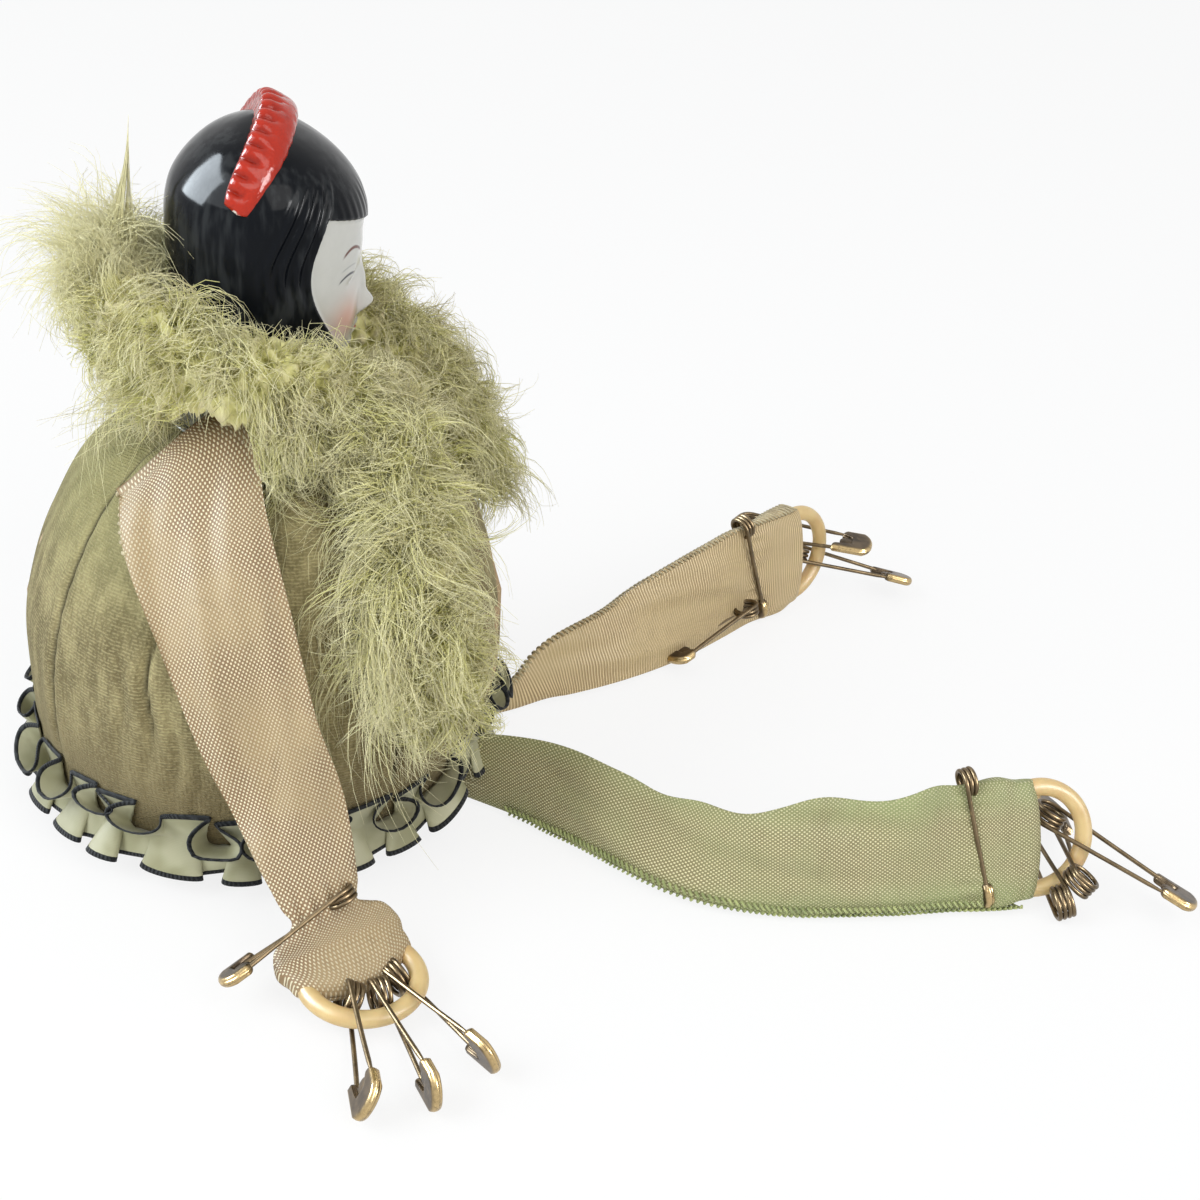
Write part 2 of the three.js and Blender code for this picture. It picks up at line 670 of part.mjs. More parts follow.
/** A pin's placement: its coil's centre, the way to its cap and the way to its needle. */
function pinMatrix(coilCentre, way, toNeedle) {
  const x = way.clone().normalize();
  const y = along(toNeedle, x, -toNeedle.dot(x)).normalize();
  return new THREE.Matrix4().makeBasis(x, y, x.clone().cross(y)).setPosition(coilCentre);
}

/** The room that a closed pin takes in the ribbon it pierces: coil, legs and cap. */
function pinRoom(pin) {
  const reach = pin.coil + PIN_WIRE_RADIUS + GAP;
  const depth = 1.5 * PIN_PITCH + 2 * (PIN_WIRE_RADIUS + GAP);
  const coil = new THREE.CylinderGeometry(reach, reach, depth, 10);
  const capLength = pin.cap + 2 * GAP + 1.2;
  const cover = new THREE.BoxGeometry(capLength, 2 * (pinBack(pin) + GAP), PIN_CAP_THICKNESS + 2 * GAP);
  const leg = new THREE.BoxGeometry(pin.length - reach, 2 * (PIN_WIRE_RADIUS + GAP), depth);
  const middle = (pin.length - reach) / 2;
  return [
    coil.rotateX(Math.PI / 2),
    cover.translate(pinEnd(pin) + GAP - capLength / 2, 0, 0),
    leg.clone().translate(middle, pin.coil, 0),
    leg.translate(middle, -pin.coil, 0),
  ];
}

/** Where a cuff pin sits on its limb; drop moves it across the ribbon and lift off its face. */
function cuffPinPlace(stations, { at, tilt, slide, lift, flip, drop = 0 }) {
  const here = limbFrame(stations, at);
  const way = along(here.across.clone().multiplyScalar(flip), here.tangent, tilt).normalize();
  const middle = slide - CUFF_PIN.length / 2 + CUFF_PIN.coil + PIN_WIRE_RADIUS;
  const start = along(along(here.at, here.look, lift), here.across, drop);
  return pinMatrix(along(start, way, middle), way, here.look);
}

/** A pin hung on a ring: it swings on the ring's wire, and its needle opens on its coil. */
function hungPin(parent, name, frame, { at, inward, way, roll = 0, pin = HUNG_PIN }) {
  const spoke = along(frame.out.clone().multiplyScalar(Math.cos(at)), frame.across, Math.sin(at));
  const tangent = frame.normal.clone().cross(spoke);
  const hang = along(frame.centre, spoke, RING_RADIUS);
  const x = V(...way).normalize();
  const y = tangent.clone().cross(x).normalize();
  y.multiplyScalar(y.z < 0 ? -1 : 1).applyAxisAngle(x, roll);
  const lifting = tangent.clone().multiplyScalar(tangent.clone().cross(x).z < 0 ? -1 : 1);
  const hold = pin.coil + PIN_WIRE_RADIUS + RING_WIRE_RADIUS + GAP + inward;
  const coilCentre = along(hang, x, -hold);
  const place = pinMatrix(coilCentre, x, y);
  const swing = hinge(parent, name + "_swing", hang, lifting);
  add(swing, name + "_spring", wire(springWire(pin), false).applyMatrix4(place), BRASS);
  add(swing, name + "_cap", cap(pin).applyMatrix4(place), BRASS);
  const opening = hinge(swing, name + "_opening", coilCentre, x.clone().cross(y));
  add(opening, name + "_needle", wire(needleWire(pin), true).applyMatrix4(place), BRASS);
}

// The four limbs

const RIGHT_ARM = [
  { at: [-20.5, 14.4, 77.6], face: [-0.41, 0.29, 0.86], half: 12.2, fold: 0 },
  { at: [-24.4, 12.8, 76.2], face: [-0.47, 0.26, 0.84], half: 12.3, fold: 0.2 },
  { at: [-33.9, 11.4, 69.8], face: [-0.68, 0.22, 0.7], half: 12.6 },
  { at: [-44.4, 6.4, 57.2], face: [-0.89, 0.13, 0.44], half: 11.6 },
  { at: [-50.6, 1, 40.4], face: [-0.98, 0.03, 0.15], half: 10.4 },
  { at: [-53.6, -4, 28.5], face: [-0.98, 0, 0.2], half: 9.6 },
  { at: [-57.6, -7, 20.8], face: [-0.88, -0.15, 0.45], half: 8.6, fold: 0.3 },
  { at: [-62.6, -9.8, 13.6], face: [-0.74, -0.24, 0.62], half: 7.6, fold: 0.1 },
  { at: [-65, -11.6, 8], face: [-0.44, -0.2, 0.87], half: 11, fold: 0.1, full: 0.3 },
  { at: [-67, -12.9, 5.4], face: [-0.1, -0.05, 0.99], half: 12.2, fold: 0, full: 0.9 },
  { at: [-71.4, -15.6, 5], face: [-0.02, -0.01, 1], half: 12.6, fold: 0, full: 1 },
];
const mirrored = ([x, y, z]) => [-x, y, z];
const LEFT_ARM = RIGHT_ARM.map((s) => ({ ...s, at: mirrored(s.at), face: mirrored(s.face) }));
const RIGHT_LEG = [
  { at: [-13.7, -37.2, 4.3], face: [-0.8, 0.6, 0.1], half: 3.2, fold: 0 },
  { at: [-20.5, -48.2, 4.6], face: [-0.8, 0.6, 0.1], half: 3.4, fold: 0 },
  { at: [-27, -56, 10.4], face: [-0.8, 0.55, 0.2], half: 9.2, fold: 0.3 },
  { at: [-35.5, -64.5, 10.6], face: [-0.8, 0.5, 0.3], half: 8.8 },
  { at: [-46, -78.5, 9.8], face: [-0.92, 0.3, 0.4], half: 8.6 },
  { at: [-51, -94, 11.4], face: [-1, 0.1, 0.3], half: 10.6 },
  { at: [-51.2, -111, 12.4], face: [-1, -0.1, 0.25], half: 11.6 },
  { at: [-49.8, -125, 12.6], face: [-0.97, -0.12, 0.3], half: 12, fold: 0 },
  { at: [-48.4, -133.5, 12.6], face: [-0.95, -0.12, 0.33], half: 12.4, fold: 0, full: 0.9 },
  { at: [-47, -142.2, 12.6], face: [-0.93, -0.12, 0.36], half: 12.6, fold: 0, full: 1 },
];
const LEFT_LEG = [
  { at: [11.6, -38.1, 4.3], face: [-0.85, -0.5, 0.1], half: 3.2, fold: 0 },
  { at: [16.2, -50, 4.6], face: [-0.85, -0.5, 0.1], half: 3.4, fold: 0 },
  { at: [21, -59.5, 8.2], face: [-0.85, -0.4, 0.3], half: 6.6, fold: 0.3 },
  { at: [28.5, -73.5, 9.8], face: [-0.8, -0.45, 0.4], half: 8.4 },
  { at: [38.3, -87.5, 11.6], face: [-0.82, -0.5, 0.25], half: 11 },
  { at: [47.4, -99.2, 12.6], face: [-0.82, -0.55, 0.15], half: 12.2 },
  { at: [52.4, -105.4, 12.8], face: [-0.82, -0.55, 0.1], half: 12.4, fold: 0 },
  { at: [57.6, -112, 12.8], face: [-0.82, -0.55, 0.1], half: 12.5, fold: 0, full: 0.9 },
  { at: [62.6, -118.4, 12.9], face: [-0.82, -0.55, 0.1], half: 12.6, fold: 0, full: 1 },
];
const overCushion = (t) => 1 - ease((t - 0.4) / 0.25);
const straight = () => 0;

const LIMBS = [
  {
    name: "right_arm",
    stations: RIGHT_ARM,
    ribbon: PEACH_RIBBON,
    curl: overCushion,
    axis: V(-0.27, 0.87, -0.42),
    cover: -2,
    cuffPins: [{ at: 0.72, tilt: 0.25, slide: 8, lift: 1.4, flip: -1 }],
    pins: [
      { at: -0.72, inward: 0, way: [-0.99, -0.09, 0.06], roll: -0.4 },
      { at: -0.05, inward: 0, way: [-0.95, -0.29, 0.06] },
      { at: 0.62, inward: 0.5, way: [-0.84, -0.54, 0.06], roll: 0.25 },
    ],
  },
  {
    name: "left_arm",
    stations: LEFT_ARM,
    ribbon: PEACH_RIBBON,
    curl: overCushion,
    axis: V(-0.27, -0.87, 0.42),
    cover: -2,
    cuffPins: [{ at: 0.72, tilt: 0.25, slide: 8, lift: 1.4, flip: 1 }],
    pins: [
      { at: 0.36, inward: 0, way: [0.97, -0.2, 0.06] },
      { at: -0.5, inward: 0, way: [0.9, -0.42, 0.07], roll: 0.3 },
    ],
  },
  {
    name: "right_leg",
    stations: RIGHT_LEG,
    ribbon: GREEN_RIBBON,
    curl: straight,
    axis: V(0, 0, -1),
    cover: -0.8,
    cuffPins: [{ at: 0.85, tilt: 0.16, slide: -1.5, lift: 0, flip: -1 }],
    pins: [
      { at: -0.1, inward: 2.2, way: [-0.56, -0.79, -0.28], pin: LONG_PIN },
      { at: -0.66, inward: 0, way: [0.99, -0.08, -0.06] },
      { at: -1.22, inward: 0, way: [0.99, 0.05, 0.04] },
    ],
  },
  {
    name: "left_leg",
    stations: LEFT_LEG,
    ribbon: PEACH_RIBBON,
    curl: straight,
    axis: V(0, 0, 1),
    cover: 1,
    cuffPins: [
      { at: 0.77, tilt: 0.25, slide: -1.6, lift: 0, flip: -1 },
      { at: 0.56, tilt: -12, slide: 0, lift: 2.4, flip: -1, drop: -7.6 },
    ],
    pins: [
      { at: -0.42, inward: 0, way: [-0.12, -0.97, -0.2] },
      { at: 0.1, inward: 11, way: [-0.3, -0.93, -0.03] },
    ],
  },
];

/** Builds one limb on its hinge, with its cuff pins, its ring and the pins hung on the ring. */
function buildLimb({ name, stations, ribbon, curl, axis, cover, cuffPins, pins }) {
  const frame = ringFrame(stations, cover);
  const body = hinge(doll, name + "_swing", V(...stations[0].at), axis);
  const places = cuffPins.map((pin) => cuffPinPlace(stations, pin));
  const rooms = places.flatMap((place) => pinRoom(CUFF_PIN).map((room) => room.applyMatrix4(place)));
  const channel = ring(frame, RING_WIRE_RADIUS + GAP);
  add(body, name + "_ribbon", cut(limb(stations, curl), channel, ...rooms), ribbon);
  places.forEach((place, i) => {
    const pinName = `${name}_cuff_pin_${i + 1}`;
    add(body, pinName + "_wire", wire(closedWire(CUFF_PIN), true).applyMatrix4(place), BRASS);
    add(body, pinName + "_cap", cap(CUFF_PIN).applyMatrix4(place), BRASS);
  });
  const spin = hinge(body, name + "_ring_spin", frame.centre, frame.normal);
  add(spin, name + "_ring", ring(frame, RING_WIRE_RADIUS), IVORY);
  pins.forEach((pin, i) => hungPin(spin, `${name}_pin_${i + 1}`, frame, pin));
}

add(doll, "base_cloth", disc(footRadius - BASE_CLOTH_INSET, BASE_CLOTH_THICKNESS, 0), LINING);
add(doll, "base_board", disc(footRadius - BOARD_INSET, BOARD_THICKNESS, boardFoot), CARD);
add(doll, "cushion_cover", cushionCover(), VELVET);
add(doll, "cushion_stuffing", stuffing(), SAWDUST);
add(doll, "ruffle_ribbon", ruffle(), SATIN);
add(doll, "porcelain_half_doll", halfDoll(), PORCELAIN);
add(doll, "waist_thread", waistThread(), THREAD);
add(doll, "boa_core", boaCore(), THREAD);
add(doll, "boa_down", boaDown(), MARABOU);
LIMBS.forEach(buildLimb);

const coilGap = Math.min(
  leastGap(springWire(HUNG_PIN), 2 * PIN_WIRE_RADIUS),
  leastGap(closedWire(CUFF_PIN), 2 * PIN_WIRE_RADIUS),
);
console.log("least gap in a pin's coil: " + coilGap.toFixed(2) + " mm");

export default doll;
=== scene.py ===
"""Looks of the half-doll pincushion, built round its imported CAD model."""

import json
import logging
import math
from dataclasses import dataclass, field
from enum import Enum
from typing import Any, Callable, Mapping, Optional, Sequence, Union

import bpy
import numpy as np
from mathutils import Matrix, Vector

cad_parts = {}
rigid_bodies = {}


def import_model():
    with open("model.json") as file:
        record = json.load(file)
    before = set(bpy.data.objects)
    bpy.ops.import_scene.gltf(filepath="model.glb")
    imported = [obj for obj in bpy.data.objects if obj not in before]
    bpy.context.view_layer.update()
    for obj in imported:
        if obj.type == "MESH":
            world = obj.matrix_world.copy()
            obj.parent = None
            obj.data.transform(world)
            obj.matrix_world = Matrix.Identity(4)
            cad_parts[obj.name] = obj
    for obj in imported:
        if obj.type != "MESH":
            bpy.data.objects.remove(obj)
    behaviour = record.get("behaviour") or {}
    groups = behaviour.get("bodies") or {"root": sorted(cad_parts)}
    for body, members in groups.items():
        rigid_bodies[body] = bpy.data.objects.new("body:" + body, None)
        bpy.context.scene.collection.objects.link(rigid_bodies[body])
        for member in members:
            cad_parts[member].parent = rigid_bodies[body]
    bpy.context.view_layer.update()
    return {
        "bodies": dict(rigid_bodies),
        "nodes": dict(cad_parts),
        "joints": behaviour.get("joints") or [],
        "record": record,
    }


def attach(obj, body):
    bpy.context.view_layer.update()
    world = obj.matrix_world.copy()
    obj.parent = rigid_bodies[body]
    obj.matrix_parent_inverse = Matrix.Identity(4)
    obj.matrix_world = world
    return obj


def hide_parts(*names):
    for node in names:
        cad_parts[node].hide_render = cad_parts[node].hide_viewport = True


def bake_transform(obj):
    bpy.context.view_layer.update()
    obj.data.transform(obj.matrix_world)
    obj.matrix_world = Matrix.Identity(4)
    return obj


Array = np.ndarray
Colour = tuple[float, float, float]
Number = Union[float, "Value"]
Object, Material, Socket = bpy.types.Object, bpy.types.Material, bpy.types.NodeSocket
Chance = np.random.Generator
Barbs = tuple[Array, Array, Array, Array]
MM = 0.001
TAU = 2 * math.pi
UP = np.array([0.0, 0.0, 1.0])
log = logging.getLogger("pincushion")


# Numbers and arrays


def ease(x: Array) -> Array:
    """Returns 0 below 0, 1 above 1 and a smooth rise between."""
    t = np.clip(x, 0, 1)
    return t * t * (3 - 2 * t)


def mix(a: Any, b: Any, t: Any) -> Any:
    """Returns the value a share t of the way from a to b."""
    return a + (b - a) * t


def unit(v: Array) -> Array:
    """Returns vectors scaled to length one along their last axis."""
    return v / np.maximum(np.linalg.norm(v, axis=-1, keepdims=True), 1e-9)


def dot(a: Array, b: Array) -> Array:
    """Returns the dot products along the last axis, which is kept."""
    return np.sum(a * b, axis=-1, keepdims=True)


def power(x: Array, exponent: Array) -> Array:
    """Returns a power that keeps the sign of its base."""
    return np.sign(x) * np.abs(x) ** exponent


def bell(x: Array) -> Array:
    """Returns a bell curve, 1 at 0 and a third at 1."""
    return np.exp(-(x**2))


def stacked(*parts: Array) -> Array:
    """Returns points or other rows of numbers, one part for each of their numbers."""
    return np.stack(np.broadcast_arrays(*parts), axis=-1)


def circle(count: int) -> Array:
    """Returns turns that lie evenly round a circle."""
    return np.linspace(0, TAU, count, endpoint=False)


def run_along(path: Array) -> Array:
    """Returns how far along a path each of its points lies."""
    return np.concatenate([[0], np.cumsum(np.linalg.norm(np.diff(path, axis=0), axis=1))])


def curve(points: Array, t: Array) -> Array:
    """Reads a smooth curve through points.

    Between two points the curve is the cubic whose slope at each point is half the way from the point
    before it to the point after it; past the ends the points are reflected.

    Args:
        points: Points that the curve passes, one a row.
        t: Places along the curve, 0 to 1.

    Returns:
        One row for each place.
    """
    ends = np.vstack([2 * points[0] - points[1], points, 2 * points[-1] - points[-2]])
    spans = len(points) - 1
    place = np.clip(np.asarray(t, float), 0, 1) * spans
    start = np.minimum(place.astype(int), spans - 1)
    x = (place - start)[..., None]
    a, b, c, d = (ends[start + k] for k in range(4))
    first, second = 0.5 * (c - a), 0.5 * (d - b)
    return b + x * (first + x * (3 * (c - b) - 2 * first - second + x * (2 * (b - c) + first + second)))


def slope(points: Array, t: Array) -> Array:
    """Returns the unit tangents of the smooth curve at places 0 to 1."""
    t = np.asarray(t, float)
    return unit(curve(points, np.minimum(t + 1e-4, 1)) - curve(points, np.maximum(t - 1e-4, 0)))


def even(points: Array, count: int) -> Array:
    """Returns places 0 to 1 that lie evenly by length along the smooth curve."""
    fine = np.linspace(0, 1, 600)
    run = run_along(curve(points, fine))
    return np.interp(np.linspace(0, run[-1], count), run, fine)


# Meshes


@dataclass
class Skin:
    """Closed surfaces: points, four-sided and three-sided faces, their pattern places and marks."""

    points: Array
    quads: Array
    tris: Array
    quad_uv: Array
    tri_uv: Array
    marks: dict[str, Array] = field(default_factory=dict)

    def outward(self) -> "Skin":
        """Turns the faces outwards, by the sign of the volume they enclose, and returns the skin."""
        corners = np.vstack([self.quads[:, [0, 1, 2]], self.quads[:, [0, 2, 3]], self.tris])
        a, b, c = (self.points[corners[:, k]] for k in range(3))
        if np.sum(a * np.cross(b, c)) < 0:
            self.quads, self.quad_uv = self.quads[:, ::-1], self.quad_uv[:, ::-1]
            self.tris, self.tri_uv = self.tris[:, ::-1], self.tri_uv[:, ::-1]
        return self

    def placed(self, matrix: Array) -> "Skin":
        """Returns the skin moved by a four by four matrix."""
        moved = self.points @ matrix[:3, :3].T + matrix[:3, 3]
        return Skin(moved, self.quads, self.tris, self.quad_uv, self.tri_uv, self.marks)

    def build(self, name: str, material: Material) -> Object:
        """Makes a mesh object of the skin, shaded smooth.

        Args:
            name: Name of the piece.
            material: Its finish.

        Returns:
            The object, at the origin, in metres.
        """
        loops = np.concatenate([self.quads.ravel(), self.tris.ravel()]).astype(np.int32)
        sides = np.concatenate([np.full(len(self.quads), 4), np.full(len(self.tris), 3)])
        starts = np.concatenate([[0], np.cumsum(sides)[:-1]]).astype(np.int32)
        mesh = bpy.data.meshes.new(name)
        mesh.vertices.add(len(self.points))
        mesh.vertices.foreach_set("co", (self.points * MM).astype(np.float32).ravel())
        mesh.loops.add(len(loops))
        mesh.loops.foreach_set("vertex_index", loops)
        mesh.polygons.add(len(sides))
        mesh.polygons.foreach_set("loop_start", starts)
        mesh.polygons.foreach_set("use_smooth", np.ones(len(sides), bool))
        mesh.update(calc_edges=True)
        uv = mesh.uv_layers.new(name="weave")
        places = np.concatenate([self.quad_uv.reshape(-1, 2), self.tri_uv.reshape(-1, 2)])
        uv.data.foreach_set("uv", places.astype(np.float32).ravel())
        for mark, values in self.marks.items():
            attribute = mesh.attributes.new(mark, "FLOAT", "POINT")
            attribute.data.foreach_set("value", values.astype(np.float32).ravel())
        mesh.materials.append(material)
        made = bpy.data.objects.new(name, mesh)
        bpy.context.scene.collection.objects.link(made)
        return made


def joined(*skins: Skin) -> Skin:
    """Returns one skin of several; a mark that one of them lacks is 0 there."""
    offsets = np.cumsum([0] + [len(s.points) for s in skins])
    names = sorted({name for s in skins for name in s.marks})
    return Skin(
        np.vstack([s.points for s in skins]),
        np.vstack([s.quads + o for s, o in zip(skins, offsets)]),
        np.vstack([s.tris + o for s, o in zip(skins, offsets)]),
        np.vstack([s.quad_uv for s in skins]),
        np.vstack([s.tri_uv for s in skins]),
        {n: np.concatenate([s.marks.get(n, np.zeros(len(s.points))) for s in skins]) for n in names},
    )


def loft(
    points: Array, uv: Optional[Array] = None, looped: bool = False,
    marks: Optional[dict[str, Array]] = None,
) -> Skin:
    """Makes a closed skin over a grid whose rows are closed rings.

    Each face joins a point, its neighbour round the ring and the same two on the next ring. The rings
    at the ends are closed by fans to their middles, unless the last ring joins the first.

    Args:
        points: Rows by columns by 3, in millimetres.
        uv: Pattern places with one column more, and one row more when looped.
        looped: Whether the last ring joins the first.
        marks: Named values, rows by columns.

    Returns:
        The skin, faces outwards.
    """
    rows, columns = points.shape[:2]
    if uv is None:
        uv = np.zeros((rows + looped, columns + 1, 2))
    i = np.arange(rows if looped else rows - 1)[:, None]
    k = np.arange(columns)[None, :]
    below, beside = (i + 1) % rows, (k + 1) % columns
    corners = [i * columns + k, i * columns + beside, below * columns + beside, below * columns + k]
    quads = np.stack([c.ravel() for c in np.broadcast_arrays(*corners)], axis=1)
    places = [uv[i, k], uv[i, k + 1], uv[i + 1, k + 1], uv[i + 1, k]]
    quad_uv = np.stack([p.reshape(-1, 2) for p in places], axis=1)
    flat = points.reshape(-1, 3)
    values = {name: v.ravel() for name, v in (marks or {}).items()}
    tris, tri_uv = np.zeros((0, 3), int), np.zeros((0, 3, 2))
    if not looped:
        column = np.arange(columns)
        around = (column + 1) % columns
        last = (rows - 1) * columns
        first_fan = np.stack([np.full(columns, len(flat)), around, column], axis=1)
        last_fan = np.stack([np.full(columns, len(flat) + 1), last + column, last + around], axis=1)
        tris = np.vstack([first_fan, last_fan])
        middle = 0.5 * (uv[[0, -1], :-1] + uv[[0, -1], 1:])
        tri_uv = np.vstack([
            np.stack([middle[0], uv[0, 1:], uv[0, :-1]], axis=1),
            np.stack([middle[1], uv[-1, :-1], uv[-1, 1:]], axis=1),
        ])
        flat = np.vstack([flat, points[0].mean(axis=0), points[-1].mean(axis=0)])
        values = {
            name: np.append(v, [v[:columns].mean(), v[-columns:].mean()]) for name, v in values.items()
        }
    return Skin(flat, quads, tris, quad_uv, tri_uv, values).outward()


def tubes(
    paths: Array, radii: Array, sides: int, guide: Array, marks: Optional[dict[str, Array]] = None
) -> Skin:
    """Makes many thin round tubes at once, closed by a point at each end.

    At each point of a path the ring is the point plus the radius times the cosine of the turn across
    and the sine of the turn over; across is the guide with its part along the path taken out.

    Args:
        paths: Tubes by stations by 3.
        radii: Radius at each station, which may differ from tube to tube.
        sides: Sides of each tube.
        guide: A direction for each tube that its path never follows.
        marks: Named values, tubes by stations.

    Returns:
        One skin of all the tubes.
    """
    count, stations = paths.shape[:2]
    tangent = unit(np.gradient(paths, axis=1))
    across = np.broadcast_to(guide, paths.shape)
    across = unit(across - dot(across, tangent) * tangent)
    over = np.cross(tangent, across)
    turn = TAU * np.arange(sides) / sides
    width = np.broadcast_to(radii, (count, stations))[..., None, None]
    spokes = across[:, :, None] * np.cos(turn)[:, None] + over[:, :, None] * np.sin(turn)[:, None]
    rings = (paths[:, :, None] + width * spokes).reshape(count, -1, 3)
    points = np.concatenate([rings, paths[:, :1], paths[:, -1:]], axis=1)
    size = stations * sides + 2
    i = np.arange(stations - 1)[:, None] * sides
    k = np.arange(sides)[None, :]
    nxt = (k + 1) % sides
    quad = np.stack([(i + k), (i + nxt), (i + sides + nxt), (i + sides + k)], axis=-1).reshape(-1, 4)
    k, nxt, last = k[0], nxt[0], (stations - 1) * sides
    first_fan = np.stack([np.full(sides, size - 2), nxt, k], axis=1)
    last_fan = np.stack([np.full(sides, size - 1), last + k, last + nxt], axis=1)
    start = (np.arange(count) * size)[:, None, None]
    quads = (quad + start).reshape(-1, 4)
    tris = (np.vstack([first_fan, last_fan]) + start).reshape(-1, 3)
    values = {}
    for name, v in (marks or {}).items():
        v = np.broadcast_to(v, (count, stations))
        values[name] = np.concatenate([np.repeat(v, sides, axis=1), v[:, :1], v[:, -1:]], axis=1).ravel()
    uv = np.zeros((len(quads), 4, 2)), np.zeros((len(tris), 3, 2))
    return Skin(points.reshape(-1, 3), quads, tris, *uv, values).outward()


def twisted(path: Array, radius: float, plies: int, pitch: float, guide: Array) -> Skin:
    """Makes a twisted thread: each ply winds round the path once a pitch, half the radius off it."""
    run = run_along(path)
    tangent = unit(np.gradient(path, axis=0))
    across = unit(guide - dot(guide, tangent) * tangent)
    over = np.cross(tangent, across)
    turn = TAU * (run[None, :] / pitch + np.arange(plies)[:, None] / plies)
    offset = across * np.cos(turn)[..., None] + over * np.sin(turn)[..., None]
    radii = np.full(len(path), 0.55 * radius)
    return tubes(path + 0.52 * radius * offset, radii, 6, across[0])


# Materials


def arithmetic(operation: str, turned: bool = False) -> Callable[["Value", Number], "Value"]:
    """Makes an operator of Value.

    Args:
        operation: The Math node's operation.
        turned: Whether the value is the second number and not the first.

    Returns:
        The method, which adds the node.
    """

    def method(self: "Value", other: Number) -> "Value":
        """Returns the node's result."""
        return self.graph.math(operation, *((other, self) if turned else (self, other)))

    return method


class Value:
    """A number socket with arithmetic: each operator adds its Math node."""

    __add__, __radd__ = arithmetic("ADD"), arithmetic("ADD", True)
    __sub__, __rsub__ = arithmetic("SUBTRACT"), arithmetic("SUBTRACT", True)
    __mul__, __rmul__ = arithmetic("MULTIPLY"), arithmetic("MULTIPLY", True)
    __truediv__ = arithmetic("DIVIDE")
    least, most = arithmetic("MINIMUM"), arithmetic("MAXIMUM")

    def __init__(self, graph: "Graph", socket: Socket) -> None:
        """Keeps the graph that the socket belongs to."""
        self.graph = graph
        self.socket = socket

    def __neg__(self) -> "Value":
        """Returns the value with its sign turned."""
        return self.graph.math("MULTIPLY", self, -1.0)

    def __abs__(self) -> "Value":
        """Returns the size without the sign."""
        return self.graph.math("ABSOLUTE", self)

    def sine(self) -> "Value":
        """Returns the sine."""
        return self.graph.math("SINE", self)

    def cosine(self) -> "Value":
        """Returns the cosine."""
        return self.graph.math("COSINE", self)

    def wave(self, pitch: float) -> "Value":
        """Returns a wave between 0 and 1 that repeats once a pitch."""
        return (self * (TAU / pitch)).sine() * 0.5 + 0.5

    def rise(self, low: float, high: float) -> "Value":
        """Returns a smooth step, 0 at low and 1 at high."""
        inputs = {"Value": self, "From Min": low, "From Max": high}
        node = self.graph.node("MapRange", {"interpolation_type": "SMOOTHSTEP"}, inputs)
        return Value(self.graph, node.outputs[0])

    def hill(self, centre: float, width: float) -> "Value":
        """Returns a bell curve round a centre, 1 there and a third at its width."""
        away = (self - centre) / width
        return self.graph.math("EXPONENT", -(away * away))


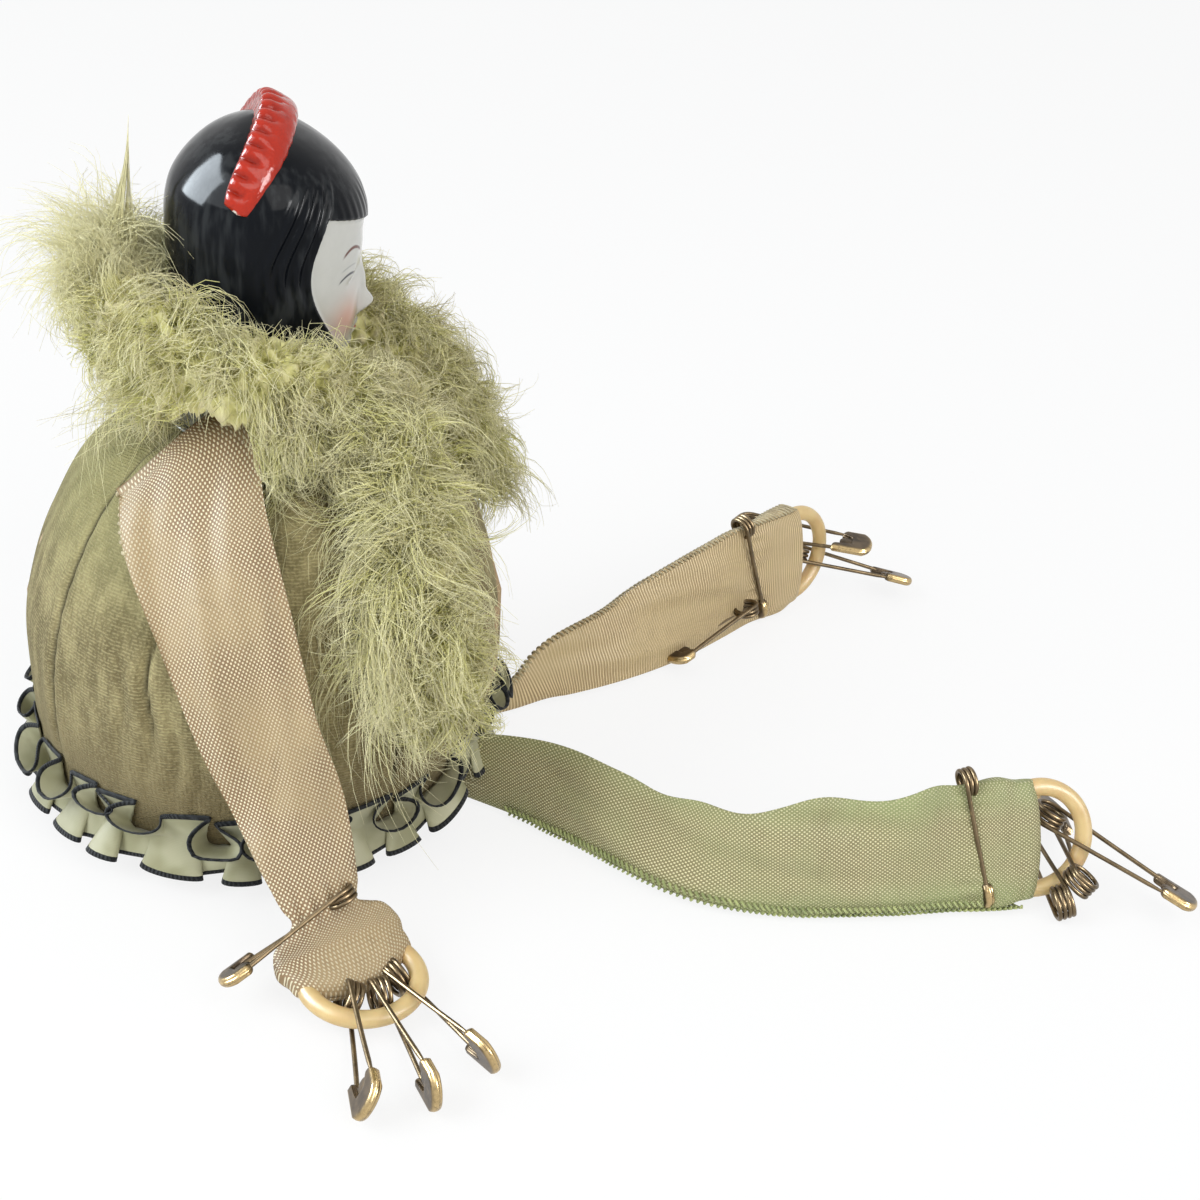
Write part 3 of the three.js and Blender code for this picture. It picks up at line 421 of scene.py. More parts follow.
class Graph:
    """The nodes of one material, or of the world."""

    def __init__(self, name: str, world: Optional[bpy.types.World] = None) -> None:
        """Makes an empty material of a name, or empties the world that is given."""
        self.material = world or bpy.data.materials.new(name)
        self.material.use_nodes = True
        self.tree = self.material.node_tree
        self.tree.nodes.clear()

    def node(
        self, kind: str, settings: Mapping[str, Any] = {}, inputs: Mapping[Any, Any] = {}
    ) -> bpy.types.Node:
        """Adds a node.

        Args:
            kind: The node's type, without the words before it.
            settings: Its settings, which are set first.
            inputs: Values or links of its sockets, by name or number.

        Returns:
            The node.
        """
        made = self.tree.nodes.new("ShaderNode" + kind)
        for key, value in settings.items():
            setattr(made, key, value)
        for key, value in inputs.items():
            socket = made.inputs[key]
            if isinstance(value, Value):
                value = value.socket
            if isinstance(value, Socket):
                self.tree.links.new(value, socket)
            elif isinstance(value, tuple) and len(value) == 3 and socket.type == "RGBA":
                socket.default_value = (*value, 1.0)
            else:
                socket.default_value = value
        return made

    def math(self, operation: str, *values: Number) -> Value:
        """Returns a Math node's result."""
        return Value(self, self.node("Math", {"operation": operation}, dict(enumerate(values))).outputs[0])

    def place(self) -> tuple[Value, Value, Value]:
        """Returns the three object coordinates in millimetres."""
        source = self.node("TexCoord").outputs["Object"]
        parts = self.node("SeparateXYZ", inputs={0: source}).outputs
        return tuple(Value(self, part) * 1000.0 for part in parts)

    def weave(self) -> tuple[Value, Value]:
        """Returns the piece's own pattern places across and along, in millimetres."""
        source = self.node("UVMap", {"uv_map": "weave"}).outputs[0]
        parts = self.node("SeparateXYZ", inputs={0: source}).outputs
        return Value(self, parts[0]), Value(self, parts[1])

    def mark(self, name: str) -> Value:
        """Returns a named value of the piece's own points."""
        return Value(self, self.node("Attribute", {"attribute_name": name}).outputs["Fac"])

    def noise(self, size: float, detail: float = 2.0, stretch: Sequence[float] = (1, 1, 1)) -> Value:
        """Returns noise on object coordinates.

        Args:
            size: Size of its blots in millimetres.
            detail: Finer levels added to it.
            stretch: How many times finer it is along each axis.

        Returns:
            The noise, about 0 to 1 with its middle at a half.
        """
        source = self.node("TexCoord").outputs["Object"]
        scaled = self.node("Mapping", inputs={0: source, "Scale": tuple(stretch)}).outputs[0]
        inputs = {"Vector": scaled, "Scale": 1000.0 / size, "Detail": detail}
        return Value(self, self.node("TexNoise", inputs=inputs).outputs[0])

    def blend(self, first: Any, second: Any, share: Number) -> Socket:
        """Returns the colour a share of the way from the first to the second."""
        return self.node("Mix", {"data_type": "RGBA"}, {0: share, 6: first, 7: second}).outputs[2]

    def bump(self, height: Value, depth: float, strength: float = 1.0) -> Socket:
        """Returns the normal of a relief whose height 1 is a depth in millimetres."""
        inputs = {"Height": height, "Distance": depth * MM, "Strength": strength}
        return self.node("Bump", inputs=inputs).outputs[0]

    def looked_at(self) -> Value:
        """Returns 1 for the camera's rays and those seen in gloss or through glass, else 0."""
        rays = self.node("LightPath").outputs
        kinds = ("Is Camera Ray", "Is Glossy Ray", "Is Transmission Ray")
        seen, gloss, glass = (Value(self, rays[kind]) for kind in kinds)
        return seen.most(gloss).most(glass)

    def surface(
        self, colour: Any, roughness: Number, relief: Socket, specular: float = 0.5, **more: Any
    ) -> Material:
        """Ends the material in a Principled shader.

        Args:
            colour: Its base colour.
            roughness: Its roughness.
            relief: Its normal.
            specular: Its specular level.
            more: Other inputs, whose names have an underscore for each space.

        Returns:
            The material.
        """
        inputs = {"Base Color": colour, "Roughness": roughness, "Normal": relief}
        inputs["Specular IOR Level"] = specular
        inputs.update({name.replace("_", " "): value for name, value in more.items()})
        shader = self.node("BsdfPrincipled", inputs=inputs)
        self.node("OutputMaterial", inputs={0: shader.outputs[0]})
        return self.material


@dataclass(frozen=True)
class Porcelain:
    """White glazed porcelain with a painted face and black painted hair."""

    white: Colour = (0.52, 0.52, 0.485)
    black: Colour = (0.004, 0.005, 0.007)
    thin_black: Colour = (0.022, 0.024, 0.026)
    pink: Colour = (0.56, 0.30, 0.21)
    brown: Colour = (0.13, 0.05, 0.035)
    line: Colour = (0.07, 0.07, 0.08)
    red: Colour = (0.42, 0.06, 0.045)

    def material(self) -> Material:
        """Returns the material; the paint is placed by the turn from the front and the height."""
        g = Graph("glazed_porcelain")
        x, y, z = g.place()
        turn = abs(g.math("ARCTAN2", x, -y))
        hair = g.mark("hair")
        speck = g.noise(2.2, 3)
        blush = turn.hill(0.54, 0.27) * z.hill(98.7, 3.9) * 0.9
        blush = blush + turn.hill(0.1, 0.2) * z.hill(90.6, 1.6) * 0.25
        brow_line = abs(z - (111.95 - 33.0 * (turn - 0.51) * (turn - 0.51)))
        brow = (1 - brow_line.rise(0.12, 0.42)) * turn.rise(0.27, 0.34) * (1 - turn.rise(0.63, 0.71))
        lash_line = abs(z - (107.3 - 26.0 * (turn - 0.53) * (turn - 0.53)))
        lash = (1 - lash_line.rise(0.08, 0.34)) * turn.rise(0.32, 0.38) * (1 - turn.rise(0.68, 0.74))
        lid_line = abs(z - (108.7 - 16.0 * (turn - 0.53) * (turn - 0.53)))
        lid = (1 - lid_line.rise(0.05, 0.3)) * turn.rise(0.34, 0.44) * (1 - turn.rise(0.62, 0.72)) * 0.35
        lips = (1 - (turn / 0.17 + abs(z - 94.6) / 0.95).rise(0.75, 1.05)) * 0.9
        nostril = turn.hill(0.07, 0.03) * z.hill(97.6, 0.35) * 0.7
        colour = g.blend(self.white, (0.58, 0.575, 0.54), speck)
        colour = g.blend(colour, self.pink, blush)
        colour = g.blend(colour, self.red, lips.most(nostril))
        colour = g.blend(colour, self.brown, brow)
        colour = g.blend(colour, self.line, lash.most(lid))
        streak = g.noise(1.4, 2, (1, 1, 0.18)) * g.noise(7.0, 1)
        paint = g.blend(self.black, self.thin_black, streak.rise(0.2, 0.42))
        colour = g.blend(colour, paint, hair.rise(0.4, 0.6))
        return g.surface(
            colour, g.noise(9.0, 2) * 0.12 + 0.07, g.bump(g.noise(5.0, 1), 0.12), 0.10,
            Coat_Weight=(1 - hair) * 0.4, Coat_Roughness=0.08,
        )


@dataclass(frozen=True)
class RedGlaze:
    """Orange-red glaze over moulded beads, chipped white at one tip."""

    red: Colour = (0.42, 0.024, 0.009)
    # Darker red of painted shade in the hollows, also used for random darker patches.
    deep: Colour = (0.19, 0.010, 0.005)
    body: Colour = (0.72, 0.66, 0.58)
    chip: tuple[float, float, float] = (-18.2, 4.4, 120.6)

    def material(self) -> Material:
        """Returns the material; painted shade darkens it between the beads and away from the rim, with
        random darker patches.
        """
        g = Graph("red_glaze")
        x, y, z = g.place()
        a, b, c = x - self.chip[0], y - self.chip[1], z - self.chip[2]
        away = g.math("SQRT", a * a + b * b + c * c) + g.noise(0.8) * 0.8
        chipped = 1 - away.rise(1.3, 1.7)
        # Painted shade in the hollows, plus random darker patches of glaze.
        shade_and_patches = g.mark("hollow") * 0.75 + g.noise(2.5, 3).rise(0.5, 0.75) * 0.35
        colour = g.blend(g.blend(self.red, self.deep, shade_and_patches), self.body, chipped)
        return g.surface(
            colour, chipped * 0.5 + 0.12, g.bump(g.noise(1.6, 2), 0.25), 0.12, Coat_Weight=0.3,
            Coat_Roughness=0.05,
        )


@dataclass(frozen=True)
class Velvet:
    """Worn cotton velvet whose pile stands in fine rows."""

    light: Colour = (0.45, 0.385, 0.195)
    dark: Colour = (0.135, 0.106, 0.048)
    green: Colour = (0.37, 0.36, 0.165)
    # Painted shade: the brown that darkens the ball towards its foot.
    brown: Colour = (0.155, 0.115, 0.055)
    row: float = 0.62
    rib: float = 0.9

    def material(self) -> Material:
        """Returns the material; rows of pile follow the cover round, broken by wear and cross ribs."""
        g = Graph("worn_velvet")
        across, along = g.weave()
        _, y, z = g.place()
        wobble = g.noise(7.0, 2) * 1.4 + g.noise(1.4, 2) * 0.35
        rows = (along + wobble * 0.4).wave(self.row)
        ribs = (across + wobble).wave(self.rib)
        fibre = g.noise(0.3, 3)
        clump = g.noise(0.8, 2, (1, 1, 1.6))
        streak = g.noise(3.2, 3, (1, 1, 0.3))
        wear = g.noise(15.0, 3, (1, 1, 0.6)).rise(0.35, 0.65)
        rubbed = rows * clump.rise(0.34, 0.6)
        relief = rubbed * 0.42 + ribs * 0.10 + fibre * 0.4 + clump * 0.35 + streak * 0.5 - 0.25
        shade = relief.rise(0.3, 0.95) * 0.62 + wear * 0.2 + streak.rise(0.35, 0.7) * 0.3
        colour = g.blend(self.dark, self.light, shade.least(1.0))
        colour = g.blend(colour, self.green, z.rise(44, 74) * y.rise(-20, 30) * 0.6)
        # Painted shade: darker brown low on the ball, towards the foot, broken by the streaks.
        colour = g.blend(colour, self.brown, (1 - z.rise(9, 44)) * (streak.rise(0.3, 0.65) * 0.25 + 0.7))
        # Dark along the mark seam: the seams' own dark joints, and painted shade in the creases.
        colour = g.blend(colour, (0.045, 0.036, 0.018), g.mark("seam").rise(0.12, 0.75) * 0.9)
        return g.surface(
            colour, 0.95, g.bump(relief, 0.5, 0.9), 0.05, Sheen_Weight=0.2, Sheen_Roughness=0.6,
            Sheen_Tint=(0.8, 0.74, 0.5, 1.0),
        )


@dataclass(frozen=True)
class EdgedSatin:
    """Sage satin ribbon with black stitched edges."""

    sage: Colour = (0.29, 0.28, 0.16)
    pale: Colour = (0.50, 0.485, 0.33)
    black: Colour = (0.006, 0.007, 0.008)
    half_width: float = 7.0
    edge: float = 0.95
    bead: float = 0.8
    warp: float = 0.26

    def material(self) -> Material:
        """Returns the material; the edge is a row of beads of thread, the rest a fine warp."""
        g = Graph("edged_satin")
        across, along = g.weave()
        rim = abs(across).rise(self.half_width - self.edge - 0.06, self.half_width - self.edge + 0.06)
        beads = (along * (TAU / self.bead) + across * 2.0).sine() * 0.5 + 0.5
        warp = across.wave(self.warp)
        tone = g.noise(9.0, 2).rise(0.35, 0.65)
        satin = g.blend(self.sage, self.pale, tone * 0.7 + warp * 0.12)
        satin = g.blend(satin, (0.22, 0.19, 0.11), g.noise(4.0, 3).rise(0.62, 0.8) * 0.4)
        # The black edge goes grey on the crests of the beads: a painted highlight, broken up by noise.
        thread = g.blend(self.black, (0.032, 0.035, 0.037), beads * beads * g.noise(0.9).rise(0.4, 0.7))
        relief = rim * (beads * 0.6 + 0.8) + warp * 0.06
        return g.surface(
            g.blend(satin, thread, rim), rim * 0.3 + 0.46, g.bump(relief, 0.22), 0.16,
            Sheen_Weight=0.1,
        )


@dataclass(frozen=True)
class RibbonWeave:
    """Faille ribbon: a ground of warp with a staggered grid of shining weft floats."""

    label: str
    ground: Colour
    float_colour: Colour
    tint: Colour
    soil: Colour
    step_across: float = 0.76
    step_along: float = 0.98
    edge_tint: float = 0.0

    def material(self) -> Material:
        """Returns the material; a float stands where both cosines of the places agree."""
        g = Graph(self.label)
        across, along = g.weave()
        drift = g.noise(12.0, 1) * 0.9
        a = ((across + drift) * (TAU / self.step_across)).cosine()
        b = ((along + drift * 0.6) * (TAU / self.step_along)).cosine()
        float_mask = (a * b).rise(0.06, 0.6) if self.step_across < 5 else (b + a * 0.12).rise(-0.3, 0.5)
        slub = g.noise(3.0, 2, (1, 1, 0.4))
        tinted = g.noise(16.0, 2).rise(0.38, 0.66)
        if self.edge_tint:
            tinted = (tinted * 0.35 + abs(across).rise(4.0, 10.5) * self.edge_tint).least(1.0)
        ground = g.blend(self.ground, self.tint, tinted)
        ground = g.blend(ground, self.soil, slub.rise(0.5, 0.85) * 0.4)
        shine = g.blend(self.float_colour, self.tint, tinted * 0.45)
        relief = float_mask + g.noise(0.3, 1) * 0.15
        return g.surface(
            g.blend(ground, shine, float_mask * 0.9), 0.65 - float_mask * 0.2, g.bump(relief, 0.16),
            0.2, Sheen_Weight=0.06,
        )


PEACH = RibbonWeave(
    "peach_ribbon", (0.285, 0.185, 0.098), (0.98, 0.89, 0.64), (0.40, 0.29, 0.155), (0.20, 0.13, 0.07)
)
# The left leg's peach ribbon: a finer ribbed weave, in colours lighter than the arms' peach as painted
# light on the leg that lies in shade.
PEACH_FAILLE_PAINTED_LIGHT = RibbonWeave(
    "peach_faille_painted_light", (0.46, 0.325, 0.17), (0.86, 0.70, 0.42), (0.56, 0.42, 0.22), (0.36, 0.25, 0.12),
    step_across=9.0, step_along=0.66,
)
SAGE = RibbonWeave(
    "sage_ribbon", (0.275, 0.238, 0.118), (0.86, 0.80, 0.50), (0.30, 0.33, 0.145), (0.20, 0.16, 0.075),
    step_across=0.7, step_along=0.92, edge_tint=0.7,
)


@dataclass(frozen=True)
class Stitching:
    """Overcast sewing thread."""

    label: str
    light: Colour
    dark: Colour
    ply: float = 0.22

    def material(self) -> Material:
        """Returns the material; fine oblique plies and a drift of tone."""
        g = Graph(self.label)
        x, y, z = g.place()
        plies = (x + y + z * 1.3).wave(self.ply)
        colour = g.blend(self.dark, self.light, plies * 0.4 + g.noise(3.0, 2).rise(0.3, 0.7) * 0.6)
        return g.surface(colour, 0.55, g.bump(plies, 0.05), 0.4)


@dataclass(frozen=True)
class Ivory:
    """Ivory-coloured moulded rings, handled and warm in tone."""

    light: Colour = (0.72, 0.52, 0.24)
    warm: Colour = (0.56, 0.34, 0.14)

    def material(self) -> Material:
        """Returns the material; faint clouds and fine scratches."""
        g = Graph("ivory_ring")
        cloud = g.noise(6.0, 3).rise(0.3, 0.75)
        scratch = g.noise(0.7, 3, (1, 4, 1))
        colour = g.blend(self.light, self.warm, cloud * 0.6 + scratch.rise(0.55, 0.8) * 0.25)
        return g.surface(colour, scratch * 0.25 + 0.24, g.bump(scratch, 0.03), Subsurface_Weight=0.08)


@dataclass(frozen=True)
class AgedBrass:
    """Brass wire and sheet gone dark brown, rubbed bright along its edges, where the gold is also a painted
    highlight.
    """

    dark: Colour = (0.060, 0.045, 0.031)
    brown: Colour = (0.135, 0.098, 0.060)
    # Gold of rubbed brass, which also serves as painted highlights and glints.
    gold: Colour = (0.56, 0.41, 0.20)

    def material(self) -> Material:
        """Returns the material; the mark wear is 1 at the edges, whose gold is rubbed brass and a painted
        highlight.
        """
        g = Graph("aged_brass")
        patch = g.noise(3.0, 3).rise(0.3, 0.7)
        fine = g.noise(0.6, 3)
        colour = g.blend(self.dark, self.brown, patch)
        # Gold at the edges and in spots from noise: rubbed brass, with painted highlights and glints.
        rubbed = g.mark("wear") * (fine.rise(0.2, 0.55) * 0.5 + 0.5)
        rubbed = (rubbed + g.noise(1.8, 2).rise(0.62, 0.8) * 0.25).least(1.0)
        return g.surface(
            g.blend(colour, self.gold, rubbed), fine * 0.16 + 0.27 - rubbed * 0.08,
            g.bump(fine, 0.012), Metallic=0.92,
        )


@dataclass(frozen=True)
class Down:
    """Dyed marabou down, yellow-green at its roots and cream at its tips."""

    root: Colour = (0.64, 0.63, 0.19)
    middle: Colour = (0.70, 0.66, 0.27)
    tip: Colour = (0.86, 0.81, 0.52)
    dun: Colour = (0.56, 0.49, 0.28)
    # Painted shade: the dark olive in the hollows of the matted down.
    deep: Colour = (0.17, 0.155, 0.045)

    def material(self) -> Material:
        """Returns the material; the marks tip and tone run along and from barb to barb."""
        g = Graph("marabou_down")
        tip, tone = g.mark("tip"), g.mark("tone")
        patch = g.noise(13.0, 2).rise(0.36, 0.64)
        colour = g.blend(self.root, self.middle, (tip.rise(0.0, 0.5) * 0.7 + patch * 0.4).least(1.0))
        colour = g.blend(colour, self.tip, (tip.rise(0.25, 0.9) * 0.7 + tone * 0.3).least(1.0))
        colour = g.blend(colour, self.dun, tone.rise(0.5, 1.0) * (0.4 + patch * 0.5))
        fibre = g.noise(0.9, 3, (1, 1, 0.4))
        # Darker in the heart's hollows between tufts: painted shade.
        colour = g.blend(colour, self.deep, g.mark("hollow") * (fibre.rise(0.3, 0.7) * 0.4 + 0.35))
        return g.surface(colour, 0.7, g.bump(fibre, 0.5), 0.15, Sheen_Weight=0.15)


@dataclass(frozen=True)
class Plain:
    """A plain cloth, card or stuffing seen only from below or inside."""

    label: str
    light: Colour
    dark: Colour
    grain: float
    depth: float
    threads: float = 0.0

    def material(self) -> Material:
        """Returns the material; a grain of noise and, where threads is set, a plain weave."""
        g = Graph(self.label)
        x, y, _ = g.place()
        grain = g.noise(self.grain, 3)
        relief = grain
        if self.threads:
            warp = (x * (TAU / self.threads)).sine()
            weft = (y * (TAU / self.threads)).sine()
            relief = (warp * weft) * 0.35 + 0.5 + grain * 0.4
        colour = g.blend(self.dark, self.light, relief.rise(0.2, 0.8))
        return g.surface(colour, grain * 0.15 + 0.8, g.bump(relief, self.depth))


# The cushion


@dataclass
class Cushion:
    """A stuffed velvet ball, flat below, gathered in round the doll's waist, in four seamed panels."""

    radius: float = 47.5
    centre: float = 34.3
    foot: float = 1.05
    neck: float = 18.35
    rest: float = 74.8
    gathers: int = 12
    gather_depth: float = 1.5
    gather_from: float = 30.0
    rows: int = 150
    columns: int = 336
    depth: float = 0.94
    coarse: tuple[int, int] = (26, 56)
    frames: int = 20
    most_moved: float = 1.5
    kept_swell: float = 0.6
    seams: tuple[float, ...] = (-2.58, -1.01, 0.56, 2.13)
    creases: tuple[tuple[float, float, float, float], ...] = (
        (-2.04, 44, 14, 1.3), (-1.93, 33, 11, 0.6), (-2.17, 36, 9, 0.45), (-1.84, 24, 9, 0.5),
        (-0.72, 40, 13, 0.7), (1.93, 42, 14, 1.0), (2.55, 38, 10, 0.6),
    )

    def level(self, z: Array) -> Array:
        """Returns the ball's radius at a height."""
        return np.sqrt(np.maximum(self.radius**2 - (z - self.centre) ** 2, 0))

    def sag(self, turn: Array, z: Array) -> Array:
        """Returns how much fuller than a ball the cushion is low at its back, by turn and height.

        The ball's radius is a root of one less the square of the depth below its middle; the fuller
        form has cubes for the squares, and the difference grows from the front to the back.
        """
        low = np.clip((self.centre - z) / self.radius, 0, 1)
        fuller = np.cbrt(1 - low**3) - np.sqrt(1 - low**2)
        return self.radius * fuller * (0.5 - 0.5 * np.cos(turn)) ** 1.5 * ease((z - self.foot) / 3.5)

    def shallow(self, points: Array) -> Array:
        """Returns points drawn in front to back, as the ball is, but not at its foot and neck."""
        z = points[..., 2]
        drawn = 1 - (1 - self.depth) * ease(z / 12) * ease((76 - z) / 22)
        return points * stacked(1, drawn, 1)

    def profile(self, count: int) -> Array:
        """Returns radius and height from the flat foot's middle up the ball to the neck."""
        low = math.asin((self.foot - self.centre) / self.radius)
        high = math.acos(self.neck / self.radius)
        ball = np.linspace(low, high, count)
        wall = stacked(self.radius * np.cos(ball), self.centre + self.radius * np.sin(ball))
        flat = np.linspace(0.05, 0.98, 8)[:, None] * [wall[0, 0], 0] + [0, self.foot]
        turned_in = [[self.neck - 0.3, wall[-1, 1] - 1.2]]
        lid = [[radius, self.rest] for radius in (self.neck - 0.4, 9.0, 0.5)]
        return np.vstack([flat, wall, turned_in, lid])

    def surface(self, rows: int, columns: int, margin: float = 0.0) -> tuple[Array, Array, Array]:
        """Works out the cover.

        A point's radius is the profile's, less the gathers near the neck, less a narrow groove at
        each seam with a soft swell on both sides of it; the crease is one more, short groove.

        Args:
            rows: Levels up the ball.
            columns: Points round it.
            margin: How much smaller the ball is made.

        Returns:
            The points, how deep in a seam or crease each lies (a dark joint at a seam, painted shade in a
            crease), and the turn of each column.
        """
        profile = self.profile(rows)
        turn = np.linspace(-np.pi, np.pi, columns, endpoint=False)
        radius, height = profile[:, :1], profile[:, 1:]
        fold = (0.5 + 0.5 * np.cos(self.gathers * turn)) ** 2
        rising = ease((height - self.gather_from) / (78 - self.gather_from))
        on_ball = (radius > self.neck + 0.5) & (height > self.foot + 0.2)
        drawn = self.gather_depth * rising * fold * on_ball
        drawn = drawn + on_ball * rising**3 * 0.5 * (0.5 + 0.5 * np.cos(29 * turn + 1.3))
        dent = np.zeros((len(profile), columns))
        seam = np.zeros_like(dent)
        for at in self.seams:
            away = (np.mod(turn - at + np.pi, TAU) - np.pi) * radius
            reach = ease((height - 14) / 14) * (1 - 0.35 * ease((height - 62) / 12))
            groove = bell(away / 0.62)
            stitches = 0.75 + 0.25 * np.cos(TAU * height / 4.2)
            dent += reach * (1.25 * groove * stitches - 0.45 * bell((np.abs(away) - 2.6) / 1.8))
            seam = np.maximum(seam, reach * groove * (0.6 + 0.4 * stitches))
        for at, middle, reach, depth in self.creases:
            away = (turn - at) * radius + 0.9 * np.sin(height * 0.3 + 9 * at)
            short = bell((height - middle) / reach)
            dent += short * depth * bell(away / 0.8)
            dent -= 0.4 * short * depth * bell((np.abs(away) - 2.6) / 1.7)
            # The crease also marks the velvet dark: painted shade in the fold.
            seam = np.maximum(seam, 0.55 * depth * short * bell(away / 0.7))
        dent += 0.28 * np.sin(3 * turn + 0.12 * height) * np.sin(0.11 * height + 2 * turn)
        r = radius - (drawn + dent * on_ball) + (self.sag(turn, height) - margin) * on_ball
        points = stacked(r * np.sin(turn), -r * np.cos(turn), height)
        return self.shallow(points), seam * on_ball, turn

    def stuffed(self, rows: int, columns: int) -> Array:
        """Blows a coarse copy of the cover up as cloth.

        Args:
            rows: Rows of the grid that the result is spread over.
            columns: Its columns.

        Returns:
            How far out each point goes, in millimetres, with the middle taken out.
        """
        coarse, _, _ = self.surface(*self.coarse, 0.6)
        press = loft(coarse).build("cushion_press", bpy.data.materials.new("press"))
        held = press.vertex_groups.new(name="held")
        z = coarse[..., 2].ravel()
        fixed = np.nonzero((z < self.foot + 1.5) | (z > 73.5))[0]
        held.add([int(i) for i in fixed] + [len(z), len(z) + 1], 1.0, "REPLACE")
        cloth = press.modifiers.new("cloth", "CLOTH")
        cloth.settings.vertex_group_mass = "held"
        cloth.settings.use_pressure = True
        cloth.settings.uniform_pressure_force = 4
        cloth.settings.effector_weights.gravity = 0
        cloth.settings.quality = 6
        cloth.point_cache.frame_start = 1
        cloth.point_cache.frame_end = self.frames
        for frame in range(1, self.frames + 1):
            bpy.context.scene.frame_set(frame)
        result = press.evaluated_get(bpy.context.evaluated_depsgraph_get()).data
        moved = np.zeros(len(result.vertices) * 3, np.float32)
        result.vertices.foreach_get("co", moved)
        moved = moved.reshape(-1, 3)[: len(z)].reshape(coarse.shape) / MM
        bpy.data.objects.remove(press)
        bpy.context.scene.frame_set(1)
        out = unit(coarse - [0, 0, self.centre])
        swell = np.clip(np.sum((moved - coarse) * out, axis=-1), -self.most_moved, self.most_moved)
        swell[8:-5] -= swell[8:-5].mean()
        swell[:8] = 0
        swell[-5:] = 0
        tall = np.linspace(0, len(swell) - 1, rows)
        low = np.minimum(tall.astype(int), len(swell) - 2)
        part = (tall - low)[:, None]
        spread = swell[low] * (1 - part) + swell[low + 1] * part
        around = np.linspace(0, self.coarse[1], columns, endpoint=False)
        left = around.astype(int)
        part = around - left
        return spread[:, left] * (1 - part) + spread[:, (left + 1) % self.coarse[1]] * part

    def build(self, finish: Velvet) -> Object:
        """Args:
            finish: Its velvet.

        Returns:
            The cover.
        """
        points, seam, turn = self.surface(self.rows, self.columns)
        swell = self.stuffed(*points.shape[:2])
        out = unit(points - [0, 0, self.centre])
        lifted = ease((points[..., 2] - 4) / 8) * ease((76 - points[..., 2]) / 8)
        points = points + out * (self.kept_swell * swell * lifted)[..., None]
        profile = self.profile(self.rows)
        run = run_along(profile)
        columns = np.append(turn, np.pi) * self.radius
        uv = stacked(columns[None, :], run[:, None])
        # The mark seam darkens the velvet: dark joints at the seams, painted shade in the creases.
        made = loft(points, uv, marks={"seam": seam}).build("cushion", finish.material())
        return made


@dataclass
class Base:
    """The cloth that closes the cushion below, with its hem oversewn."""

    radius: float = 30.0
    thickness: float = 0.7
    stitches: int = 72

    def build(self, lining: Plain, thread: Stitching) -> list[Object]:
        """Builds the cloth and its stitches.

        The cloth is a disc: its radius runs out over the top, round a soft rim and back below, and
        its hem is a low ridge. A stitch is a short arch across the rim.

        Args:
            lining: Finish of the cloth.
            thread: Finish of the stitches.

        Returns:
            The cloth and the stitches.
        """
        turn = circle(180)
        top = [(0.3, 0.6), (8, 0.6), (16, 0.6), (23, 0.6), (25.2, 0.6)]
        hem = [(26, 0.66), (27, 0.7), (28.5, 0.7), (29.5, 0.68), (29.9, 0.55), (30, 0.35), (29.9, 0.14)]
        below = [(29.5, 0.02), (27, 0.0), (26, 0.1), (20, 0.12), (10, 0.12), (0.3, 0.12)]
        out, z = np.array(top + hem + below).T[..., None]
        pucker = 1 + 0.006 * np.sin(23 * turn) * (out > 27)
        points = stacked(out * pucker * np.cos(turn), out * pucker * np.sin(turn), z)
        cloth = loft(points).build("base_lining", lining.material())
        at = TAU * np.arange(self.stitches) / self.stitches
        t = np.linspace(-1, 1, 6)
        reach = self.radius - 0.5 + 1.6 * t
        lean = at[:, None] + 0.018 * t
        paths = stacked(reach * np.cos(lean), reach * np.sin(lean), 0.78 + 0.3 * (1 - t**2))
        sewn = tubes(paths, np.full(6, 0.2), 5, UP).build("base_stitches", thread.material())
        return [cloth, sewn]


# The gathered ribbon


